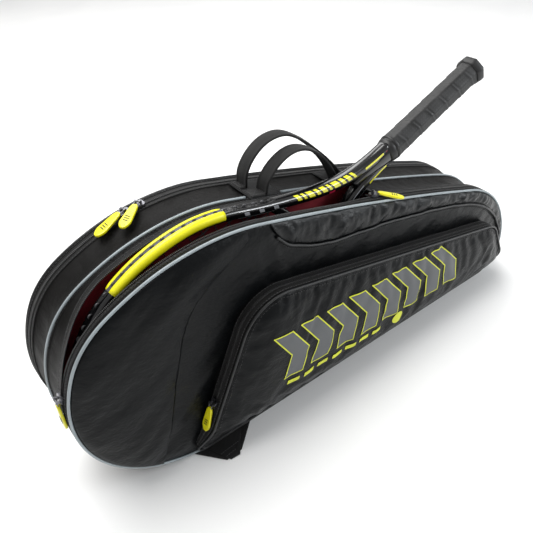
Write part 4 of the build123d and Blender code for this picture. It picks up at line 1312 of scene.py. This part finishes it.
# the bumper guard: a wide front band and a narrower rear band with a groove
BY, BG = Many(), Many()
for upper in (True, False):
    ia, ib = sorted((idx_of_u(399, upper), idx_of_u(528, upper)))
    for a0, a1 in ((-1.75, -0.17), (0.17, 1.55)):
        rows = []
        n_i = ib - ia
        for k in range(n_i + 1):
            i = ia + k
            e = min(k, n_i - k)
            g = 1.1 if e > 1 else (0.85 if e == 1 else 0.4)
            ring = []
            an = np.linspace(a0, a1, 9)
            for j, a_ in enumerate(an):
                gg = g * (0.55 if j in (0, 8) else 1.0)
                ring.append(frame_point(i, a_, gg))
            for a_ in an[::-1]:
                ring.append(frame_point(i, a_, 0.05))
            rows.append(ring)
        BY.add(rows, closed_v=True, cap0=True, cap1=True)
    rows = []
    for k in range(n_i + 1):
        rows.append([frame_point(ia + k, a_, 0.35) for a_ in np.linspace(-0.2, 0.2, 5)])
    BG.add(rows)
    for k in range(0, len(cl)):
        u = cl[k][0]
        if (cl[k][1] < 0) != upper or u < 350 or k % 3:
            continue
        p, q = frame_point(k, 0.0, 0.05), frame_point(k + 0.6, 0.0, 0.05)
        t_ = (q - p) / np.linalg.norm(q - p)
        n_ = on_[k][0] * RD + on_[k][1] * RV
        BG.add(tube_rows([p - t_ * 2.6 - n_ * 0.8, p - t_ * 1.4 + n_ * 0.5, p + n_ * 0.8, p + t_ * 1.4 + n_ * 0.5, p + t_ * 2.6 - n_ * 0.8], [0.5, 1.1, 1.2, 1.1, 0.5], 7, hint=n_), closed_v=True, cap0=True, cap1=True)
BY.make("bumper_guard_bands", BUMPER, body="racket", replaces=["bumper_guards"], slot="bumper_plastic")
BG.make("grommet_strip", GROMMET, body="racket", slot="bumper_plastic")

DY, DG, DR = Many(), Many(), Many()
i0, i1 = idx_of_u(320), idx_of_u(226)
k = 0
pos = float(i0)
seq = [1.6, 1.0, 2.2, 1.3, 1.8, 1.0, 2.4, 1.4]
while pos + seq[k % 8] < i1:
    decal(DY, pos, pos + seq[k % 8], -0.42, -1.55, slant=1.5)
    pos += seq[k % 8] + 0.9
    k += 1
decal(DR, idx_of_u(272), idx_of_u(272) + 2.2, -1.75, -2.3)
decal(DG, idx_of_u(386), idx_of_u(330), -1.0, -1.12)
decal(DG, idx_of_u(386), idx_of_u(330), -2.05, -2.17)
for u in (378, 362, 346):
    decal(DG, idx_of_u(u), idx_of_u(u) + 1.6, -1.32, -1.75, slant=0.6)
for up in (True, False):
    a_, b_ = sorted((idx_of_u(214, up), idx_of_u(186, up)))
    decal(DY, a_, b_, -1.25, -1.55)
a_, b_ = sorted((idx_of_u(300, False), idx_of_u(222, False)))
decal(DG, a_, b_, -1.05, -1.2)
decal(DG, a_, b_, -1.9, -2.05)
decal(DR, idx_of_u(181), idx_of_u(181) + 0.9, -1.4, -1.75)
DY.make("frame_accents_yellow", DECAL_Y, body="racket", slot="bumper_plastic")
DG.make("frame_accents_grey", DECAL_G, body="racket", slot="racket_paint")
DR.make("frame_accents_red", DECAL_R, body="racket", slot="racket_paint")

# strings, woven over and under
inner = [(c_ - n_ * 5.6) for c_, n_ in zip(cl, on_) if c_[0] > 352]
inner = np.array(list(inner) + [(344, -62), (337, -36), (331.5, -16), (329.8, 0), (331.5, 16), (337, 36), (344, 62)][::1])


def crossings(poly, axis, value):
    out = []
    for i in range(len(poly)):
        a_, b_ = poly[i], poly[(i + 1) % len(poly)]
        if (a_[axis] - value) * (b_[axis] - value) < 0:
            t = (value - a_[axis]) / (b_[axis] - a_[axis])
            out.append(a_[1 - axis] + t * (b_[1 - axis] - a_[1 - axis]))
    return (min(out), max(out)) if len(out) >= 2 else None


ST = Many()
mains = [(i - 7.5) * 14.2 for i in range(16)]
crosses = [352 + i * 14.6 for i in range(19)]
for m_i, v in enumerate(mains):
    r = crossings(inner, 1, v)
    if r:
        us = np.arange(r[0], r[1], 3.6)
        ST.add(tube_rows([rp(u, v, 0.62 * cos(pi * (u - crosses[0]) / 14.6 + pi * m_i)) for u in us], 0.66, 5, hint=RN), closed_v=True)
for c_i, u in enumerate(crosses):
    r = crossings(inner, 0, u)
    if r:
        vs = np.arange(r[0], r[1], 3.6)
        ST.add(tube_rows([rp(u, v, -0.62 * cos(pi * (v - mains[0]) / 14.2 + pi * c_i)) for v in vs], 0.66, 5, hint=RN), closed_v=True)
ST.make("racket_strings", STRING, body="racket", replaces=["string_bed"], slot="string")


# grip: octagonal, wound with an overlapping spiral strip
def octagon(ang, ap, soft=0.16):
    a_ = (ang + pi / 8) % (pi / 4) - pi / 8
    r_ = ap / cos(a_)
    return r_ * (1 - soft * 0.1) - soft * ap * 0.35 * max(0, abs(a_) - 0.26)


rows = []
NG = 48
for u in np.linspace(9.5, 166, 150):
    ring = []
    for k in range(NG):
        an = 2 * pi * k / NG
        turn = ((u - 9.5) / 25.5 - an / (2 * pi)) % 1.0
        ridge = 1.0 * exp(-turn / 0.07) + 0.9 * turn - 0.5 - 0.5 * exp(-((turn - 0.9) / 0.06) ** 2)
        tap = 1.0 - 0.02 * sin(pi * (u - 9.5) / 156)
        r_ = octagon(an, 15.9 * tap) + ridge * (smooth((u - 9.5) / 3) if u < 13 else 1.0)
        ring.append(rp(u, r_ * sin(an) * 1.02, r_ * cos(an) * 0.97))
    rows.append(ring)
loft("grip_wrap_spiral", rows, GRIP, closed_v=True, cap0=True, cap1=True, body="racket", replaces=["racket_grip"], slot="grip_wrap")
rows = []
for u, k in ((161, 1.07), (162, 1.12), (163.5, 1.13), (165, 1.12), (165.6, 1.06), (167, 1.05), (168, 1.09), (171, 1.05), (174, 0.99), (176, 0.93), (176.4, 0.86)):
    rows.append([rp(u, 15.4 * k * sin(2 * pi * j / 36), 14.0 * k * cos(2 * pi * j / 36)) for j in range(36)])
loft("grip_collar_ring", rows, RUBBER, closed_v=True, cap0=True, cap1=True, body="racket", replaces=["grip_collar"], slot="grip_rubber")
rows = []
for u, k in ((0.0, 0.30), (0.0, 0.55), (0.5, 0.62), (0.0, 0.68), (0.0, 0.88), (0.8, 0.97), (2.4, 1.03), (6.5, 1.04), (9.5, 1.0), (12.0, 0.95), (12.4, 0.88)):
    rows.append([rp(u, octagon(2 * pi * j / NG, 17.7) * k * sin(2 * pi * j / NG), octagon(2 * pi * j / NG, 17.7) * k * cos(2 * pi * j / NG)) for j in range(NG)])
loft("butt_cap_moulding", rows, RUBBER, closed_v=True, cap0=True, cap1=True, body="racket", replaces=["butt_cap"], slot="grip_rubber")

# ------------------------------------------------------ pulls on the sliders
def row_pt(p):
    return np.array(p) + np.array([X0, Y0, 0.0])


def rounded_tab(k):
    """Half-width of the moulded tab at s mm from the pin."""
    return float(np.interp(k, [5.6, 6.4, 9, 15, 27, 31, 34, 37.5, 40, 41], [1.6, 2.9, 4.2, 4.9, 6.2, 6.5, 6.3, 4.9, 3.2, 1.4]))


def pull(name, pin_row, axis, along):
    pin = row_pt(pin_row)
    ax, al = np.array(axis, float), np.array(along, float)
    ax /= np.linalg.norm(ax)
    al = al - ax * (al @ ax)
    al /= np.linalg.norm(al)
    up = np.cross(ax, al)
    rows = []
    ks = np.r_[5.6, 5.9, 6.6, 7.6, 9.0, 11, 13, 15, 17, 19, 21, 23, 25, 27, 29, 31, 33, 35, 37, 38.6, 39.9, 40.6, 41.0]
    for k in ks:
        h = rounded_tab(k)
        t_ = 1.55 * (0.72 if k in (5.6, 41.0) else (0.9 if k in (5.9, 40.6) else 1.0))
        ring = []
        for m_ in range(20):
            a_, b_ = section(2 * pi * m_ / 20, h, t_, 4.5)
            rim = 0.28 * (1 - smooth((h - abs(a_)) / 1.3)) * (1 if b_ > 0 else -1) if 9 < k < 37 else 0.0
            ring.append(pin + al * k + ax * a_ + up * (b_ + float(rim)))
        rows.append(ring)
    body = name
    o = loft(name + "_tab", rows, YELLOW, closed_v=True, cap0=True, cap1=True, body=body, replaces=[name], slot="yellow_pull")
    subdivide(o)
    R = Many()
    for side_ in (1, -1):                       # three plain ribs near the wide end
        for k in (24.5, 27.6, 30.7):
            w_ = 3.3
            path_ = [pin + al * (k + 0.9 * t) + ax * w_ * t + up * side_ * 1.62 for t in np.linspace(-1, 1, 7)]
            R.add(tube_rows(path_, [0.2, 0.55, 0.6, 0.6, 0.6, 0.55, 0.2], 7, hint=up, ra=0.45), closed_v=True, cap0=True, cap1=True)
    R.make(name + "_ribs", PULLINK, body=body, slot="yellow_pull")
    ringp = []
    for t in np.linspace(0, 2 * pi, 40, endpoint=False):
        c_, s_ = cos(t), sin(t)
        lx = 3.9 + 5.0 * np.sign(c_) * abs(c_) ** 0.8
        ringp.append(pin + al * lx + ax * 2.4 * np.sign(s_) * abs(s_) ** 0.75)
    tube(name + "_wire_loop", ringp, 0.62, METAL, 8, closed=True, hint=up, body=body, slot="slider_metal")
    return o


def piv(name):
    for j in frame["joints"]:
        if j.get("child") == name or j.get("child_body") == name:
            return j
    return None


pull("main_pull_left", (-429.469, -43.2, 190.166), (0, 1, 0), (0, 0, -1))
t0 = prof(s_x(411.0))
tn = np.array([t0[2], 0, t0[3]])
tr = np.array([t0[3], 0, -t0[2]])
yw = radians(-28.0)
fw = tr * cos(yw) + np.array([0, 1.0, 0]) * sin(yw)
pull("main_pull_right", (-11.987, -43.2, 259.515), (0.45335, 0.88295, -0.12196), fw * cos(radians(4)) - tn * sin(radians(4)))
for nm, pn_, ax_, th, yaw in (("rear_pull_left", (-294.331, 46.1, 304.322), (0.30313, -0.95106, 0.06002), 101.2, 18.0),
                              ("rear_pull_right", (-276.916, 46.1, 307.143), (0.61081, -0.78801, 0.07716), 97.2, 38.0)):
    a_ = prof(s_th(th))
    nn_ = np.array([a_[2], 0, a_[3]])
    bk = -np.array([a_[3], 0, -a_[2]])
    fw = bk * cos(radians(yaw)) + np.array([0, -1.0, 0]) * sin(radians(yaw))
    pull(nm, pn_, ax_, fw * cos(radians(4)) - nn_ * sin(radians(4)))
tp = np.array([0.37797, 0, 0.92582])
pull("pocket_pull", (-282.402, -71.5, 96.104), (0, 1, 0), -tp * cos(radians(5)) - np.array([-tp[2], 0, tp[0]]) * sin(radians(5)))

# ------------------------------------------------------------- CAD nodes kept
def dress(node, mat, slot, bevel=0.35):
    o = NODES[node]
    o.data.materials.clear()
    o.data.materials.append(mat)
    if bevel:
        b_ = o.modifiers.new("edges", "BEVEL")
        b_.width = bevel * 0.001
        b_.segments = 2
        b_.limit_method = "ANGLE"
        b_.angle_limit = radians(35)
        b_.harden_normals = False


for nm in ("main_slider_left", "main_slider_right", "rear_slider_left", "rear_slider_right", "pocket_slider"):
    dress(nm, METAL, "slider_metal", 0.45)
for nm in ("upper_strap_buckle", "lower_strap_buckle"):
    dress(nm, BUCKLE, "buckle_plastic", 0.9)
dress("main_zip_end_stops", METAL, "zip_coil", 0.3)
for nm in ("front_base_board", "rear_base_board"):
    dress(nm, BOARD, "board", 0.5)

# ------------------------------------------------------- back straps and tail
PAD_X0, PAD_X1, PAD_W = 215.0, 470.0, 58.0
WEB_END = 605.0
for lab, zc in (("upper", 168.0), ("lower", 78.0)):
    poly = [(PAD_X0 + 1.5, zc - 22), (PAD_X0 + 1.5, zc + 22), (PAD_X0 + 40, zc + PAD_W / 2), (PAD_X1 - 60, zc + PAD_W / 2), (PAD_X1, zc + 19),
            (PAD_X1, zc - 19), (PAD_X1 - 60, zc - PAD_W / 2), (PAD_X0 + 40, zc - PAD_W / 2)]
    rad = [6, 6, 30, 40, 8, 8, 40, 30]
    O = round_poly(poly, rad, -1.2, 4.0)
    P, F = cdt_region(O, 4.6)
    fine = round_poly(poly, rad, -1.2, 2.0)
    dd = ring_dist(P[:, 0], P[:, 1], fine)
    th_ = 1.2 + 3.0 * (1 - np.exp(-dd / 5.0))
    for zz in (zc - 11, zc + 11):
        th_ -= 0.9 * np.exp(-((P[:, 1] - zz) / 1.8) ** 2) * smooth((dd - 5) / 6)
    th_ += 0.3 * np.array([n3(x / 22, 2, z / 22) for x, z in P]) * smooth(dd / 8)
    n_ = len(P)
    v = np.vstack([np.stack([P[:, 0], 119.6 + th_, P[:, 1]], 1), np.stack([P[:, 0], np.maximum(119.0 - th_ * 0.75, 116.4), P[:, 1]], 1)])
    f = [tuple(reversed(q)) for q in F] + [tuple(i + n_ for i in q) for q in F]
    pad = make(lab + "_strap_pad_cover", v, f, MESHF, uvs=lambda c: (c.x, c.z), replaces=[lab + "_strap_pad"], slot="strap_pad")
    subdivide(pad)
    ob = round_poly(poly, rad, -0.9, 3.0)
    tube(lab + "_strap_pad_binding", [(x, 119.4, z) for x, z in ob], 1.5, BINDING, 10, closed=True, ra=2.4, slot="strap_pad")
    a_, b_ = (PAD_X1 - 14, WEB_END)
    rows = []
    for x in np.linspace(a_, b_, 40):
        ring = []
        yb = 117.2 + 5.4 * float(smooth((PAD_X1 - x) / 9)) + 0.35 * n3(x / 14, zc, 0)
        for q_, w_ in ((-1, -0.4), (-0.96, -0.9), (-0.5, -0.8), (0, -0.85), (0.5, -0.8), (0.96, -0.9), (1, -0.4), (1, 0.4), (0.96, 0.9), (0.5, 0.8), (0, 0.85), (-0.5, 0.8), (-0.96, 0.9), (-1, 0.4)):
            ring.append((x, yb + w_ * 0.85, zc + q_ * 12.4))
        rows.append(ring)
    loft(lab + "_strap_webbing_band", rows, WEB, closed_v=True, cap0=True, cap1=True, replaces=[lab + "_strap_webbing"], slot="webbing", flip=True)
    rows = []
    for i, x in enumerate(np.linspace(PAD_X0 - 33, PAD_X0 + 1, 14)):
        row = []
        for j, z in enumerate(np.linspace(zc - 23, zc + 23, 16)):
            e = 0.7 if i in (0, 13) or j in (0, 15) else 0.0
            row.append((x, 118.1 - e + 0.1 * n3(x / 6, 1, z / 6), z))
        rows.append(row)
    an = thicken(subdivide(loft(lab + "_strap_anchor_tab", rows, WEB, replaces=[lab + "_strap_anchor"], slot="webbing", flip=True)), 1.9)
    bx = []
    c4 = [(PAD_X0 - 30, zc - 20), (PAD_X0 - 2, zc - 20), (PAD_X0 - 2, zc + 20), (PAD_X0 - 30, zc + 20)]
    for p_, q_ in ((0, 1), (1, 2), (2, 3), (3, 0), (0, 2), (1, 3)):
        pts = [(c4[p_][0] + (c4[q_][0] - c4[p_][0]) * t, 118.2, c4[p_][1] + (c4[q_][1] - c4[p_][1]) * t) for t in np.linspace(0, 1, 6)]
        bx.append((pts, [(0, 1, 0)] * 6))
    c4 = [(WEB_END - 13, zc - 10), (WEB_END - 3, zc - 10), (WEB_END - 3, zc + 10), (WEB_END - 13, zc + 10)]
    for p_, q_ in ((0, 1), (1, 2), (2, 3), (3, 0), (0, 2), (1, 3)):
        pts = [(c4[p_][0] + (c4[q_][0] - c4[p_][0]) * t, 118.1, c4[p_][1] + (c4[q_][1] - c4[p_][1]) * t) for t in np.linspace(0, 1, 6)]
        bx.append((pts, [(0, 1, 0)] * 6))
    for zz in (zc - 11, zc + 11):
        bx.append(([(x, 122.6, zz) for x in np.linspace(PAD_X0 + 16, PAD_X1 - 16, 30)], [(0, 1, 0)] * 30))
    stitches(lab + "_strap_stitches", bx, THREAD, pitch=3.6)

# strap end folded under the front edge of the base
def tail_layer(M, outline_, z0, z1, nx_=14, ny_=16, droop=0.0):
    O = np.array(outline_, float)
    a_, b_, c_, d_ = O
    rows_t, rows_b = [], []
    for i in range(nx_ + 1):
        p, q = a_ + (b_ - a_) * i / nx_, d_ + (c_ - d_) * i / nx_
        rt, rb = [], []
        for j in range(ny_ + 1):
            r_ = p + (q - p) * j / ny_
            w_ = 0.25 * n3(r_[0] / 9, 2.0, r_[1] / 9)
            e = 0.35 if i in (0, nx_) or j in (0, ny_) else 0.0
            rt.append((r_[0], r_[1], z1 - e + w_ * 0.5))
            rb.append((r_[0], r_[1], z0))
        rows_t.append(rt)
        rows_b.append(rb)
    M.add(rows_t)
    M.add([list(reversed(r)) for r in rows_b])
    for side_ in ([r[0] for r in rows_t], [r[-1] for r in rows_t], rows_t[0], rows_t[-1]):
        M.add([[p, (p[0], p[1], z0)] for p in side_])


M = Many()
tail_layer(M, [(119, 1.5), (146, -30.5), (169, -29.5), (206, 1.5)], 0.15, 1.5)
tail_layer(M, [(134, 0.5), (150, -33.5), (163, -34.5), (189, 0.5)], 1.35, 2.7)
tail = M.make("strap_tail_webbing", WEB, replaces=["strap_tail"], slot="webbing")
stitches("strap_tail_stitches", [([(147 + 19 * t, -27.5 + 2 * t, 2.75) for t in np.linspace(0, 1, 6)], [(0, 0, 1)] * 6), ([(143 + 30 * t, -20.5 + 2 * t, 2.75) for t in np.linspace(0, 1, 6)], [(0, 0, 1)] * 6)], THREAD, pitch=3.2)

# ---------------------------------------------------- floor, light and camera
def floor_mat():
    m = Mat("floor")
    n_ = m.noise(6, 3)
    m.link(m.ramp(n_, [(0.3, (0.86, 0.86, 0.86)), (0.7, (0.885, 0.885, 0.88))]), m.b.inputs["Base Color"])
    m.link(m.span(n_, 0.55, 0.65), m.b.inputs["Roughness"])
    m.bump((m.noise(300), 0.00004, 0.2))
    m.set(Specular_IOR_Level=0.2)
    return m.m


me = bpy.data.meshes.new("floor")
me.from_pydata([(-9, -9, 0), (9, -9, 0), (9, 9, 0), (-9, 9, 0)], [], [(0, 1, 2, 3)])
me.materials.append(floor_mat())
fl = bpy.data.objects.new("floor", me)
bpy.context.scene.collection.objects.link(fl)
fl.location = (0, 0, -0.0002)

world = bpy.data.worlds.new("studio")
bpy.context.scene.world = world
world.use_nodes = True
bg = world.node_tree.nodes["Background"]
bg.inputs["Color"].default_value = (1.0, 1.0, 1.0, 1)
bg.inputs["Strength"].default_value = 0.50


def area(name, loc, target, size, power, color=(1, 1, 1)):
    l = bpy.data.lights.new(name, "AREA")
    l.shape = "RECTANGLE"
    l.size, l.size_y = size
    l.energy = power
    l.color = color
    o = bpy.data.objects.new(name, l)
    bpy.context.scene.collection.objects.link(o)
    o.location = loc
    dv = Vector(target) - Vector(loc)
    o.rotation_euler = dv.to_track_quat("-Z", "Y").to_euler()
    return o


area("key_soft", (-0.5, 0.5, 2.2), (0.05, 0.0, 0.1), (1.9, 1.2), 56, (1.0, 0.995, 0.98))
area("front_fill", (1.9, -1.5, 1.3), (0.15, -0.05, 0.1), (1.2, 1.0), 34, (0.93, 0.97, 1.0))
area("back_rim", (0.6, 1.6, 1.7), (0.0, 0.0, 0.15), (1.8, 0.6), 16)

cam = bpy.data.cameras.new("camera")
co_ = bpy.data.objects.new("camera", cam)
bpy.context.scene.collection.objects.link(co_)
Rr, Uu, Bb = (0.79175, -0.61060, -0.01715), (0.39107, 0.48513, 0.78212), (-0.46924, -0.62595, 0.62289)
co_.matrix_world = Matrix(((Rr[0], Uu[0], Bb[0], -0.46681), (Rr[1], Uu[1], Bb[1], -0.42835), (Rr[2], Uu[2], Bb[2], 0.60956), (0, 0, 0, 1)))
cam.lens = 37.33
cam.sensor_width = 36
cam.clip_start = 0.01
bpy.context.scene.camera = co_
bpy.context.scene.view_settings.view_transform = "Standard"
